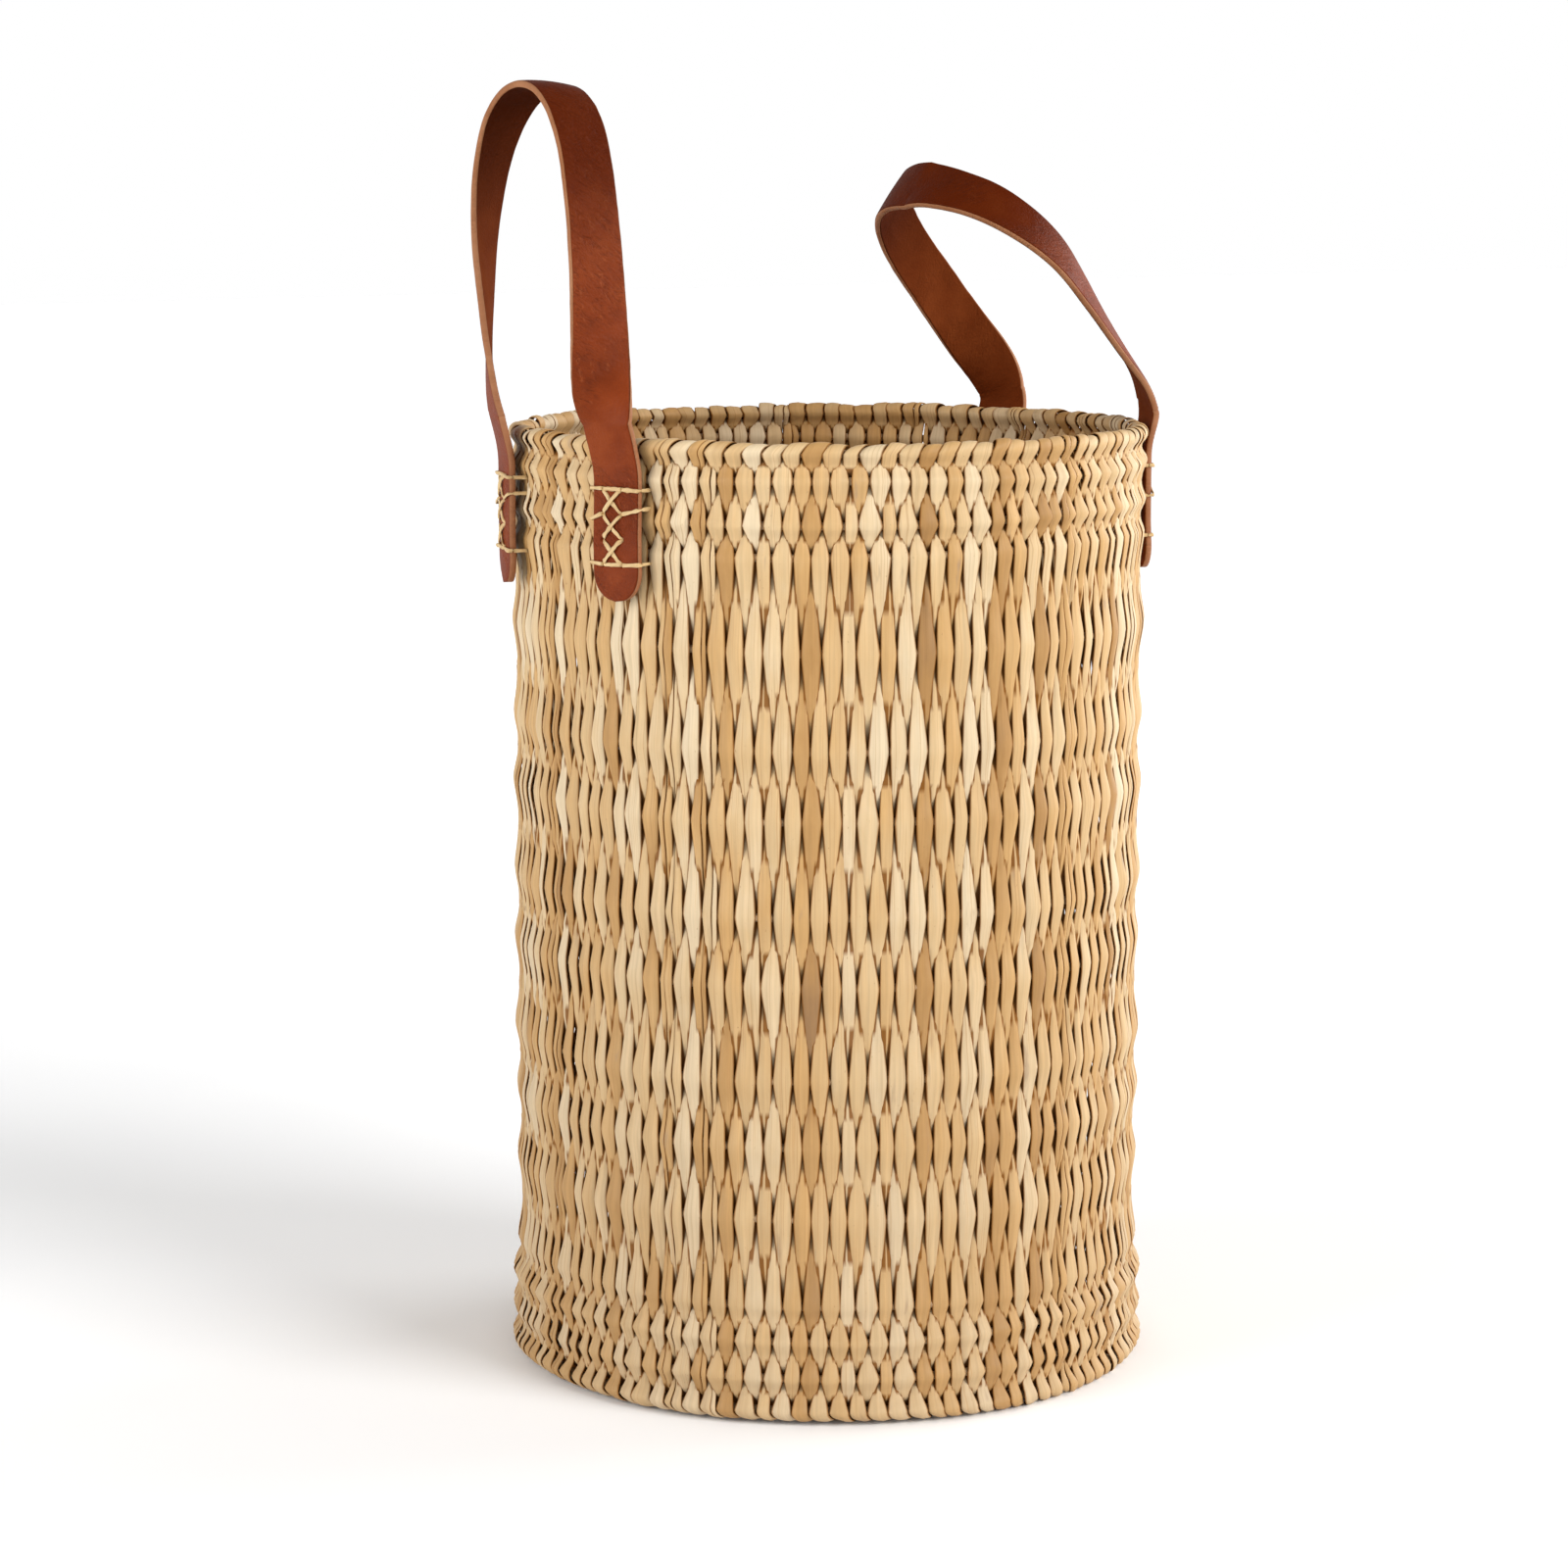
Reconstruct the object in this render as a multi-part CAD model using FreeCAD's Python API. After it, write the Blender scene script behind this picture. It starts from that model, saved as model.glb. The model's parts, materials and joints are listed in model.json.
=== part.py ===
import FreeCAD, Part
import math
import os

# Tall round storage basket, woven from palm leaf over hidden hoops, with two leather strap handles.
# All sizes are in millimetres. The origin is the centre of the underside, +Z is up the basket's axis,
# and the two handles stand on the -X and +X sides.

Vector = FreeCAD.Vector
UP = Vector(0, 0, 1)

# Wall: upright leaf strands pass outside and inside a stack of round hoops, turn about.
HOOP_RADIUS = 146.0
HOOP_ROD_RADIUS = 1.9
STRAND_COUNT = 216
STRAND_WIDTH = 3.9
STRAND_THICKNESS = 1.4
STRAND_SWING = 3.9
STRAND_NODES = 12

# Hoop heights, from the rim down to the floor: close hoops make the two borders.
RIM_HEIGHT = 440.9
UPPER_BORDER_HEIGHTS = (428.5, 410.0)
WALL_HOOP_HEIGHTS = (395.0, 353.5, 309.0, 277.0, 234.0, 202.0, 159.0, 128.5, 95.0, 54.5)
LOWER_BORDER_HEIGHTS = (38.5, 21.0)
BOTTOM_HEIGHT = 5.2
FOLD_TAIL = 9.0
FOLD_DROP = 1.9

# Base: leaf strands woven flat across straight rods, inside an edge hoop that is laced to the wall.
MAT_RADIUS = 134.0
BASE_ROD_COUNT = 15
BASE_ROD_PITCH = 18.2
BASE_STRAND_COUNT = 31
BASE_STRAND_PITCH = 8.4
BASE_STRAND_WIDTH = 7.6
BASE_SWING = 3.6
BASE_FLAT = 8.0
BASE_END_RUN = 1.0
BASE_EDGE_RADIUS = 137.5
LACING_COUNT = 36
LACING_WIDTH = 2.5
LACING_CLEARANCE = 0.2
LACING_THICKNESS = 0.5

# Leather straps: each handle is a bent strap loop that hinges where it leaves its two sewn-on tabs.
STRAP_WIDTH = 26.0
STRAP_THICKNESS = 3.2
TAB_RADIUS = 156.0
TAB_TOP = 441.5
TAB_BOTTOM = 373.5
HINGE_HEIGHT = 452.0
LOOP_SECTIONS_PER_LEG = 12
CROWN_STEPS = 720

# side angle, half angle between the tabs, loop rise, height of the curved crown, lean towards the axis
HANDLES = {
    "left": {"side": 180.0, "spread": 18.7, "rise": 150.0, "crown": 90.0, "lean": -3.0},
    "right": {"side": 0.0, "spread": 22.5, "rise": 137.0, "crown": 44.0, "lean": 40.0},
}

# Raffia stitching of a tab: four rows of two punched holes, three crosses and side stitches.
STITCH_TOP = 424.0
STITCH_PITCH = 11.3
STITCH_ROWS = 4
HOLE_COLUMNS = (-7.0, 4.0)
HOLE_RADIUS = 1.1
THREAD_WIDTH = 1.5
THREAD_THICKNESS = 0.9
THREAD_LIFT = 0.1
SIDE_STITCH_REACH = 1.6
SIDE_STITCH_DROP = 1.0
SIDE_STITCH_ROWS = (0, 1, 3)
LEVEL_STITCH_ROWS = (0, 3)


def write_node(name, solids):
    """Write one node's separate solids to its own file."""
    shape = solids[0] if len(solids) == 1 else Part.Compound(solids)
    shape.exportStep(os.path.join("parts", name + ".step"))


def side_direction(angle):
    """Unit vector away from the axis at an angle, in degrees, from +X."""
    return Vector(math.cos(math.radians(angle)), math.sin(math.radians(angle)), 0)


def thick_outline(path, thickness):
    """Closed outline of a strip that follows a path of 2-D points, with mitred corners."""
    sides = ([], [])
    last = len(path) - 1
    for index, (a, b) in enumerate(path):
        before = path[max(index - 1, 0)]
        after = path[min(index + 1, last)]
        normals = []
        if index > 0:
            normals.append(unit_normal(before, (a, b)))
        if index < last:
            normals.append(unit_normal((a, b), after))
        sum_a = sum(normal[0] for normal in normals)
        sum_b = sum(normal[1] for normal in normals)
        mitre = len(normals) * thickness / (sum_a * sum_a + sum_b * sum_b)
        for side, sign in zip(sides, (0.5, -0.5)):
            side.append((a + sign * mitre * sum_a, b + sign * mitre * sum_b))
    return sides[0] + sides[1][::-1]


def unit_normal(start, end):
    """Unit normal of the run between two 2-D points."""
    run_a = end[0] - start[0]
    run_b = end[1] - start[1]
    length = math.hypot(run_a, run_b)
    return (-run_b / length, run_a / length)


def prism(outline, origin, first, second, width):
    """Solid of an outline in the plane of two directions, centred on that plane."""
    across = first.cross(second)
    corners = [origin + first * a + second * b - across * (width / 2) for a, b in outline]
    return Part.Face(Part.makePolygon(corners + corners[:1])).extrude(across * width)


def hoop(radius, height):
    """One round hoop of bent reed."""
    return Part.makeTorus(radius, HOOP_ROD_RADIUS, Vector(0, 0, height), UP)


def make_hoops():
    """The sixteen hoops, each in a node of its own."""
    hoops = {"rim_hoop": RIM_HEIGHT, "bottom_hoop": BOTTOM_HEIGHT}
    groups = (
        ("upper_border_hoop", UPPER_BORDER_HEIGHTS),
        ("wall_hoop", WALL_HOOP_HEIGHTS),
        ("lower_border_hoop", LOWER_BORDER_HEIGHTS),
    )
    for group, heights in groups:
        for number, height in enumerate(heights, 1):
            hoops["%s_%02d" % (group, number)] = height
    for name, height in hoops.items():
        write_node(name, [hoop(HOOP_RADIUS, height)])


def strand_path(starts_outside):
    """Path of a strand in radius and height: over the rim, in and out down the hoops, under the last."""
    heights = (RIM_HEIGHT,) + UPPER_BORDER_HEIGHTS + WALL_HOOP_HEIGHTS + LOWER_BORDER_HEIGHTS + (BOTTOM_HEIGHT,)
    top = RIM_HEIGHT + STRAND_SWING
    bottom = BOTTOM_HEIGHT - STRAND_SWING
    side = 1 if starts_outside else -1
    path = []
    if starts_outside:
        path.append((HOOP_RADIUS - STRAND_SWING, RIM_HEIGHT - FOLD_TAIL))
        path.append((HOOP_RADIUS - STRAND_SWING, RIM_HEIGHT))
    path.append((HOOP_RADIUS, top))
    for height in heights:
        path.append((HOOP_RADIUS + side * STRAND_SWING, height))
        side = -side
    path.append((HOOP_RADIUS - side * STRAND_SWING, BOTTOM_HEIGHT - FOLD_DROP))
    path.append((HOOP_RADIUS, bottom))
    return path


def make_wall_strands():
    """The upright strands, shared out over nodes of neighbouring strands."""
    radial = Vector(1, 0, 0)
    masters = []
    for starts_outside in (True, False):
        outline = thick_outline(strand_path(starts_outside), STRAND_THICKNESS)
        masters.append(prism(outline, Vector(0, 0, 0), radial, UP, STRAND_WIDTH))
    per_node = STRAND_COUNT // STRAND_NODES
    for node in range(STRAND_NODES):
        solids = []
        for index in range(node * per_node, (node + 1) * per_node):
            solid = masters[index % 2].copy()
            solid.rotate(Vector(0, 0, 0), UP, index * 360.0 / STRAND_COUNT)
            solids.append(solid)
        write_node("wall_strands_%02d" % (node + 1), solids)


def chord_half_length(offset, half_width):
    """Half the length of a straight piece of the mat that stays inside its round edge."""
    return math.sqrt(MAT_RADIUS ** 2 - (abs(offset) + half_width) ** 2)


def base_strand_path(index, half_length):
    """Path of a base strand in X and Z: under one rod and over the next, cut at both ends."""
    rod_height = STRAND_THICKNESS / 2 + BASE_SWING
    middle = BASE_ROD_COUNT // 2
    path = []
    for rod in range(BASE_ROD_COUNT):
        side = -1 if (rod - middle + index) % 2 == 0 else 1
        x = (rod - middle) * BASE_ROD_PITCH
        z = rod_height + side * BASE_SWING
        path.append((x - BASE_FLAT / 2, z))
        path.append((x + BASE_FLAT / 2, z))
    inside = [point for point in path if abs(point[0]) < half_length - BASE_END_RUN]
    first = path.index(inside[0])
    last = path.index(inside[-1])
    cut = [] if first == 0 else [point_at_x(path[first - 1], path[first], -half_length)]
    cut += inside
    if last < len(path) - 1:
        cut.append(point_at_x(path[last], path[last + 1], half_length))
    return cut


def point_at_x(start, end, x):
    """The point of a straight run, or of its extension, at a given X."""
    share = (x - start[0]) / (end[0] - start[0])
    return (x, start[1] + share * (end[1] - start[1]))


def make_base():
    """Rods, flat woven strands, edge hoop and lacing of the base."""
    rod_height = STRAND_THICKNESS / 2 + BASE_SWING
    rods = []
    for index in range(BASE_ROD_COUNT):
        x = (index - BASE_ROD_COUNT // 2) * BASE_ROD_PITCH
        half = chord_half_length(x, HOOP_ROD_RADIUS)
        rods.append(Part.makeCylinder(HOOP_ROD_RADIUS, 2 * half, Vector(x, -half, rod_height), Vector(0, 1, 0)))
    write_node("base_rods", rods)

    strands = []
    for number in range(BASE_STRAND_COUNT):
        index = number - BASE_STRAND_COUNT // 2
        y = index * BASE_STRAND_PITCH
        path = base_strand_path(index, chord_half_length(y, BASE_STRAND_WIDTH / 2))
        outline = thick_outline(path, STRAND_THICKNESS)
        strands.append(prism(outline, Vector(0, y, 0), Vector(1, 0, 0), UP, BASE_STRAND_WIDTH))
    write_node("base_strands", strands)

    write_node("base_edge_hoop", [hoop(BASE_EDGE_RADIUS, BOTTOM_HEIGHT)])
    write_node("base_lacing", lacing_rings())


def racetrack(start, end, radius):
    """Flat face of the shape round two points on the X axis, at the bottom hoop's height."""
    centres = (Vector(start, 0, BOTTOM_HEIGHT), Vector(end, 0, BOTTOM_HEIGHT))
    rise = Vector(0, 0, radius)
    reach = Vector(radius, 0, 0)
    edges = [
        Part.Arc(centres[0] + rise, centres[0] - reach, centres[0] - rise).toShape(),
        Part.LineSegment(centres[0] - rise, centres[1] - rise).toShape(),
        Part.Arc(centres[1] - rise, centres[1] + reach, centres[1] + rise).toShape(),
        Part.LineSegment(centres[1] + rise, centres[0] + rise).toShape(),
    ]
    return Part.Face(Part.Wire(edges))


def lacing_rings():
    """Flat leaf rings that tie the base's edge hoop to the bottom hoop, between inside strands."""
    inner = HOOP_ROD_RADIUS + LACING_CLEARANCE
    outer = inner + LACING_THICKNESS
    face = racetrack(BASE_EDGE_RADIUS, HOOP_RADIUS, outer).cut(racetrack(BASE_EDGE_RADIUS, HOOP_RADIUS, inner))
    master = face.extrude(Vector(0, LACING_WIDTH, 0)).Solids[0]
    master.translate(Vector(0, -LACING_WIDTH / 2, 0))
    strand_step = 360.0 / STRAND_COUNT
    rings = []
    for index in range(LACING_COUNT):
        ring = master.copy()
        ring.rotate(Vector(0, 0, 0), UP, index * 360.0 / LACING_COUNT + strand_step)
        rings.append(ring)
    return rings


def tab_frame(angle):
    """Origin on the axis and the two directions of a tab's face: across it and away from the wall."""
    outward = side_direction(angle)
    return UP.cross(outward), outward


def make_tab(angle):
    """One sewn-on strap end: a flat leather strip with a round lower end and punched holes."""
    across, outward = tab_frame(angle)
    centre = outward * (TAB_RADIUS - STRAP_THICKNESS / 2)
    half = across * (STRAP_WIDTH / 2)
    round_centre = centre + UP * (TAB_BOTTOM + STRAP_WIDTH / 2)
    top = centre + UP * TAB_TOP
    edges = [
        Part.LineSegment(top - half, top + half).toShape(),
        Part.LineSegment(top + half, round_centre + half).toShape(),
        Part.Arc(round_centre + half, centre + UP * TAB_BOTTOM, round_centre - half).toShape(),
        Part.LineSegment(round_centre - half, top - half).toShape(),
    ]
    tab = Part.Face(Part.Wire(edges)).extrude(outward * STRAP_THICKNESS)
    for row in range(STITCH_ROWS):
        for column in HOLE_COLUMNS:
            base = centre + across * column + UP * (STITCH_TOP - row * STITCH_PITCH)
            tab = tab.cut(Part.makeCylinder(HOLE_RADIUS, STRAP_THICKNESS, base, outward))
    return tab.Solids[0]


def flat_stitch(angle, start, end, layer):
    """A straight raffia stitch over a tab's face, from one (across, height) point to another."""
    across, outward = tab_frame(angle)
    run = across * (end[0] - start[0]) + UP * (end[1] - start[1])
    length = run.Length
    along = run * (1.0 / length)
    lift = TAB_RADIUS + STRAP_THICKNESS / 2 + THREAD_LIFT + layer * (THREAD_THICKNESS + THREAD_LIFT)
    origin = outward * lift + across * start[0] + UP * start[1]
    outline = [(0, 0), (length, 0), (length, THREAD_THICKNESS), (0, THREAD_THICKNESS)]
    return prism(outline, origin, along, outward, THREAD_WIDTH)


def side_stitch(angle, column, height):
    """A stitch from a hole out over the tab's nearer edge and down beside it to the wall."""
    across, outward = tab_frame(angle)
    sign = 1 if column > 0 else -1
    reach = STRAP_WIDTH / 2 + SIDE_STITCH_REACH
    face = TAB_RADIUS + STRAP_THICKNESS / 2 + THREAD_LIFT + THREAD_THICKNESS / 2
    foot = face - STRAP_THICKNESS - SIDE_STITCH_DROP
    path = [(column + sign * HOLE_RADIUS, face), (sign * reach, face), (sign * reach, foot)]
    outline = thick_outline(path, THREAD_THICKNESS)
    return prism(outline, UP * height, across, outward, THREAD_WIDTH)


def make_stitches(angle):
    """All the raffia stitches of one tab."""
    left, right = HOLE_COLUMNS
    inset = HOLE_RADIUS + THREAD_WIDTH / 2
    stitches = []
    for row in range(STITCH_ROWS):
        height = STITCH_TOP - row * STITCH_PITCH
        if row in LEVEL_STITCH_ROWS:
            stitches.append(flat_stitch(angle, (left + inset, height), (right - inset, height), 0))
        if row in SIDE_STITCH_ROWS:
            stitches.append(side_stitch(angle, left, height))
            stitches.append(side_stitch(angle, right, height))
        if row < STITCH_ROWS - 1:
            high = height - inset
            low = height - STITCH_PITCH + inset
            stitches.append(flat_stitch(angle, (left, high), (right, low), 0))
            stitches.append(flat_stitch(angle, (right, high), (left, low), 1))
    return stitches


def loop_outline(half_chord, rise, crown):
    """Points and tangents of a loop in its own plane, evenly spaced by length, hinge to hinge."""
    straight = rise - crown
    samples = [(-half_chord, 0.0)]
    for step in range(CROWN_STEPS + 1):
        angle = math.pi * step / CROWN_STEPS
        samples.append((-half_chord * math.cos(angle), straight + crown * math.sin(angle)))
    samples.append((half_chord, 0.0))
    lengths = [0.0]
    for start, end in zip(samples, samples[1:]):
        lengths.append(lengths[-1] + math.dist(start, end))
    spots = []
    count = 2 * LOOP_SECTIONS_PER_LEG
    index = 0
    for step in range(count + 1):
        target = lengths[-1] * step / count
        while index < len(samples) - 2 and lengths[index + 1] < target:
            index += 1
        start, end = samples[index], samples[index + 1]
        run = lengths[index + 1] - lengths[index]
        share = (target - lengths[index]) / run
        point = (start[0] + share * (end[0] - start[0]), start[1] + share * (end[1] - start[1]))
        tangent = ((end[0] - start[0]) / run, (end[1] - start[1]) / run)
        spots.append((point, tangent, step / count))
    return spots


def make_loop(handle):
    """The free part of a strap: flat to the wall at both hinges, turned edge-on over the crown."""
    outward = side_direction(handle["side"])
    chord = UP.cross(outward)
    spread = math.radians(handle["spread"])
    lean = math.radians(handle["lean"])
    rising = UP * math.cos(lean) - outward * math.sin(lean)
    away = outward * math.cos(lean) + UP * math.sin(lean)
    origin = outward * (TAB_RADIUS * math.cos(spread)) + UP * HINGE_HEIGHT
    wires = []
    for (u, v), (du, dv), share in loop_outline(TAB_RADIUS * math.sin(spread), handle["rise"], handle["crown"]):
        twist = (math.pi / 2 - spread) * abs(1 - 2 * share)
        tangent = chord * du + rising * dv
        in_plane = rising * du - chord * dv
        normal = in_plane * math.cos(twist) + away * math.sin(twist)
        width = tangent.cross(normal) * (STRAP_WIDTH / 2)
        depth = normal * (STRAP_THICKNESS / 2)
        centre = origin + chord * u + rising * v
        corners = [centre + width + depth, centre - width + depth, centre - width - depth, centre + width - depth]
        wires.append(Part.makePolygon(corners + corners[:1]))
    return Part.makeLoft(wires, True, False)


def make_handles():
    """Loops, tabs and stitches of both handles."""
    for name, handle in HANDLES.items():
        write_node(name + "_handle_loop", [make_loop(handle)])
        for end, sign in (("front", -1), ("back", 1)):
            facing = 1 if name == "right" else -1
            angle = handle["side"] + sign * facing * handle["spread"]
            write_node("%s_%s_tab" % (name, end), [make_tab(angle)])
            write_node("%s_%s_stitches" % (name, end), make_stitches(angle))


os.makedirs("parts", exist_ok=True)
make_hoops()
make_wall_strands()
make_base()
make_handles()
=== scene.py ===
import json
import math

import bpy
import numpy as np
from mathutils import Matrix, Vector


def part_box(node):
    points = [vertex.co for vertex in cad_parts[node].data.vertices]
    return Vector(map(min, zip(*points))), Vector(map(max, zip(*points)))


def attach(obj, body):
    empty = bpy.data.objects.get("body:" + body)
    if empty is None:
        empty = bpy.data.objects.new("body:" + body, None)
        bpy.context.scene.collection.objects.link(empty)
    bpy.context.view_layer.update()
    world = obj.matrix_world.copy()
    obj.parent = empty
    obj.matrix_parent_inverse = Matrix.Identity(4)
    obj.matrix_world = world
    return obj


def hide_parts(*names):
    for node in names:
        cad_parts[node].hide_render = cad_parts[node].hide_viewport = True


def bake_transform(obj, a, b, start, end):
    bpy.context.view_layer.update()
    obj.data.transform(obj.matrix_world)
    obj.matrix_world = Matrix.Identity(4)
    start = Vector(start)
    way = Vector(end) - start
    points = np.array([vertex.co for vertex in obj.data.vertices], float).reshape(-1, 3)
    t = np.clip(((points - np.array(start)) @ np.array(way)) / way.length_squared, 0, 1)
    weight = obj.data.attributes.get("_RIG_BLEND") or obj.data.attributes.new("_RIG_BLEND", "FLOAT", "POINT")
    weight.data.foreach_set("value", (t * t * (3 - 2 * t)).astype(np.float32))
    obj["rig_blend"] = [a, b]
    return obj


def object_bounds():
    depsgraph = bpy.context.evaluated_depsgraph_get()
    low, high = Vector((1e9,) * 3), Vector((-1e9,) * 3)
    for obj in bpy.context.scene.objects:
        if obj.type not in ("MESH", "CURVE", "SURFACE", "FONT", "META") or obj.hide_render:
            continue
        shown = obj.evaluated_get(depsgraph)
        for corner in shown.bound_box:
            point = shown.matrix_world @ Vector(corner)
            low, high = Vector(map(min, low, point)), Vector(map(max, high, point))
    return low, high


# Tall palm leaf basket with two leather strap handles. Lengths are in metres, written in millimetres
# times MM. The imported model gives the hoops, tabs and hinges; everything here is built round them.

MM = 0.001
SEED = 20261117

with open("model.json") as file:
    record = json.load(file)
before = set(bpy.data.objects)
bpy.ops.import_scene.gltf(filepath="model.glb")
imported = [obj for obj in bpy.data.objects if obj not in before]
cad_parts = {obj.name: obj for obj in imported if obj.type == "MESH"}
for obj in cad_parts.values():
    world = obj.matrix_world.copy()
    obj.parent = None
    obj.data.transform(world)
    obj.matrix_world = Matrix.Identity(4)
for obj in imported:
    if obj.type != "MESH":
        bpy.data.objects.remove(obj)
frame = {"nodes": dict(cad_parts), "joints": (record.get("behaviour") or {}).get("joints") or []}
cad_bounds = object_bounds()

# Camera, at the photograph's viewing angle.
CAMERA_AZIMUTH = -33.5
CAMERA_DISTANCE = 2.007
CAMERA_SIDE_SHIFT = -0.0203
CAMERA_HEIGHT = 0.5804
CAMERA_PITCH = 8.73
CAMERA_LENS = 97.3
CAMERA_SENSOR = 36.0

# Studio.
HORIZON_LIGHT = 0.85
ZENITH_LIGHT = 0.14
FLOOR_SIZE = 12.0
FLOOR_GLOW = (0.09, 0.36)     # near the basket and far away
FLOOR_GLOW_REACH = (0.7, 2.6)
UNLIT_REACH = (0.140, 0.175)  # no glow under the basket, and less round its foot, a painted shadow there
KEY_AZIMUTH = 21.0
KEY_ELEVATION = 27.0
KEY_ANGLE = 34.0
KEY_STRENGTH = 2.5
FILL_AZIMUTH = -92.0
FILL_ELEVATION = 18.0
FILL_POWER = 45.0
SIDE_AZIMUTH = 86.0
SIDE_ELEVATION = 18.0
SIDE_POWER = 46.0
LIGHT_DISTANCE = 2.8
LIGHT_SIZE = 1.8
LIGHT_AIM = 0.25              # the lights turn round the basket's middle height

# Weave.
FULL_TURN = 2 * math.pi
STRAND_COUNT = 216
LEAF_COUNT = STRAND_COUNT // 2
SECTOR_COUNT = 12
STRAND_STEP = FULL_TURN / STRAND_COUNT
HOOP_NAMES = (
    ["rim_hoop", "upper_border_hoop_01", "upper_border_hoop_02"]
    + ["wall_hoop_%02d" % number for number in range(1, 11)]
    + ["lower_border_hoop_01", "lower_border_hoop_02", "bottom_hoop"]
)
HOOP_COUNT = len(HOOP_NAMES)
WALL_FIRST = HOOP_NAMES.index("wall_hoop_01")
WALL_LAST = HOOP_NAMES.index("wall_hoop_10")
HOOP_FLARE = {"upper_border": 0.9 * MM, "lower_border": 2.1 * MM, "bottom": 1.2 * MM}
HOOP_STATIONS = 240
ROD_SIDES = 10
ROD_UNEVENNESS = 0.04
WAVE_ORDERS = 6
HEIGHT_WAVE = 0.42 * MM       # size of the random waves of a hoop's height
SHARED_WAVE = 0.30 * MM       # of the radius, the same at every hoop
OWN_WAVE = 0.14 * MM          # and of the radius of each hoop
PHASE_DRIFT = 0.3
LASTING_SHIFT = 0.50 * MM     # how far the edge of a strand's place is off, all the way down
PASSING_SHIFT = 0.27 * MM     # and at each hoop
WIDE_GAPS = 0.06              # share of the strands with a wider gap beside them
LONG_RUN = 24 * MM            # hoops further apart than this carry long diamonds
LONG_RUN_STATIONS = 13
SHORT_RUN_STATIONS = 9
OVER_STATIONS = 14            # over the rim
HOOP_SWING = 2.35 * MM        # from the hoop's line to the edge of a leaf that passes it
WALL_SWING = 2.10 * MM        # the same at the widely spaced hoops, where the leaves lie flatter
RIM_SWING = 3.5 * MM
RIM_LIFT = (-0.5 * MM, 1.2 * MM)    # each leaf stands a little higher or lower over the rim
RIM_SLANT = (0.35, 0.14)      # mean and spread of a leaf's sideways lean over the rim, in strand steps
RIM_BULGE = 0.03              # a leaf is a little wider over the rim
BOTTOM_SWING = 3.8 * MM
SIDE_OFFSET = 3.5 * MM        # the width of a passing leaf is measured this far from the hoop's line
BOTTOM_LIFT = 1.0 * MM
LEAF_CROWN = 0.85 * MM
RIM_CROWN = 0.40 * MM
LEAF_TILT = 0.085
CREST_SHIFT = 0.35
CROSSING = (0.45, 0.55)       # where two leaves cross between two hoops
LEAF_THICKNESS = 0.75 * MM
PINCH_THICKNESS = 2.7 * MM    # a leaf bunches up where it slips between its neighbours
THICKEN_POWER = 2.2
PLEAT_POWER = 1.4
PINCH_WIDTH = 5.2 * MM
RIM_PINCH_WIDTH = 6.4 * MM    # wider, so that no light comes through under the rim
PINCH_POWER = (0.85, 1.20)    # how straight the sides of a diamond are, from the hoop to its tips
RUN_POWER = 1.65              # how long the leaves stay side by side between two hoops
LONG_BEND = 5.0 * MM          # how tight a leaf bends over a wall hoop
BORDER_BEND = 1.6 * MM        # and over a border hoop
LEAF_GAP = 0.07 * MM
SLIT = 0.022                  # half a split's opening, as a share of half the leaf's width
SLIT_CLOSING = 1.30           # how far a split closes where the leaf is pinched
STRIP_CROWN = 0.22 * MM       # extra crown and share of the thickness of each strip of a split leaf
STRIP_THICKNESS = 0.8
PLEAT_DEPTH = 0.26 * MM
STRIP_LIFT = (34 * MM, 0.16 * MM)   # random curves along a leaf, as the spacing and size of their knots
PLEAT_DRIFT = (30 * MM, 0.8)
SWAY = (26 * MM, 0.16 * MM)
EDGE_WAVE = (9 * MM, 0.10 * MM)
TONE_DRIFT = (60 * MM, 0.085)
WHOLE_LEAVES = 0.86           # share of the leaves that are not split
FEW_STRIPS = 0.97             # and of those in no more than two strips
LEAF_TONES = ((0.34, -0.05, 0.20), (0.80, 0.26, 0.55), (1.0, 0.55, 0.78))    # share up to here, from, to
OWN_TONE = 0.25               # how much of a leaf's first tone is in its second leg
BASE_STRIP_PITCH = 8.4 * MM
SHADOW_DEPTH = (3.9 * MM, 5.4 * MM)
INSIDE_SHADE = 0.22           # painted shade: the inside of the basket is a little browner and darker
FLOOR_CLEARANCE = 0.05 * MM


def hoop_place(name):
    """Height, ring radius and rod radius of a hoop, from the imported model."""
    low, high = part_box(name)
    rod = (high.z - low.z) / 2
    return (low.z + high.z) / 2, high.x - rod, rod


HOOPS = np.array([hoop_place(name) for name in HOOP_NAMES])
HOOP_HEIGHTS = HOOPS[:, 0]
HOOP_RADIUS = HOOPS[0, 1]
ROD_RADIUS = HOOPS[0, 2]


# ---------------------------------------------------------------- meshes

def new_object(name, data):
    """A new object in the scene."""
    obj = bpy.data.objects.new(name, data)
    bpy.context.scene.collection.objects.link(obj)
    return obj


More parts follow.
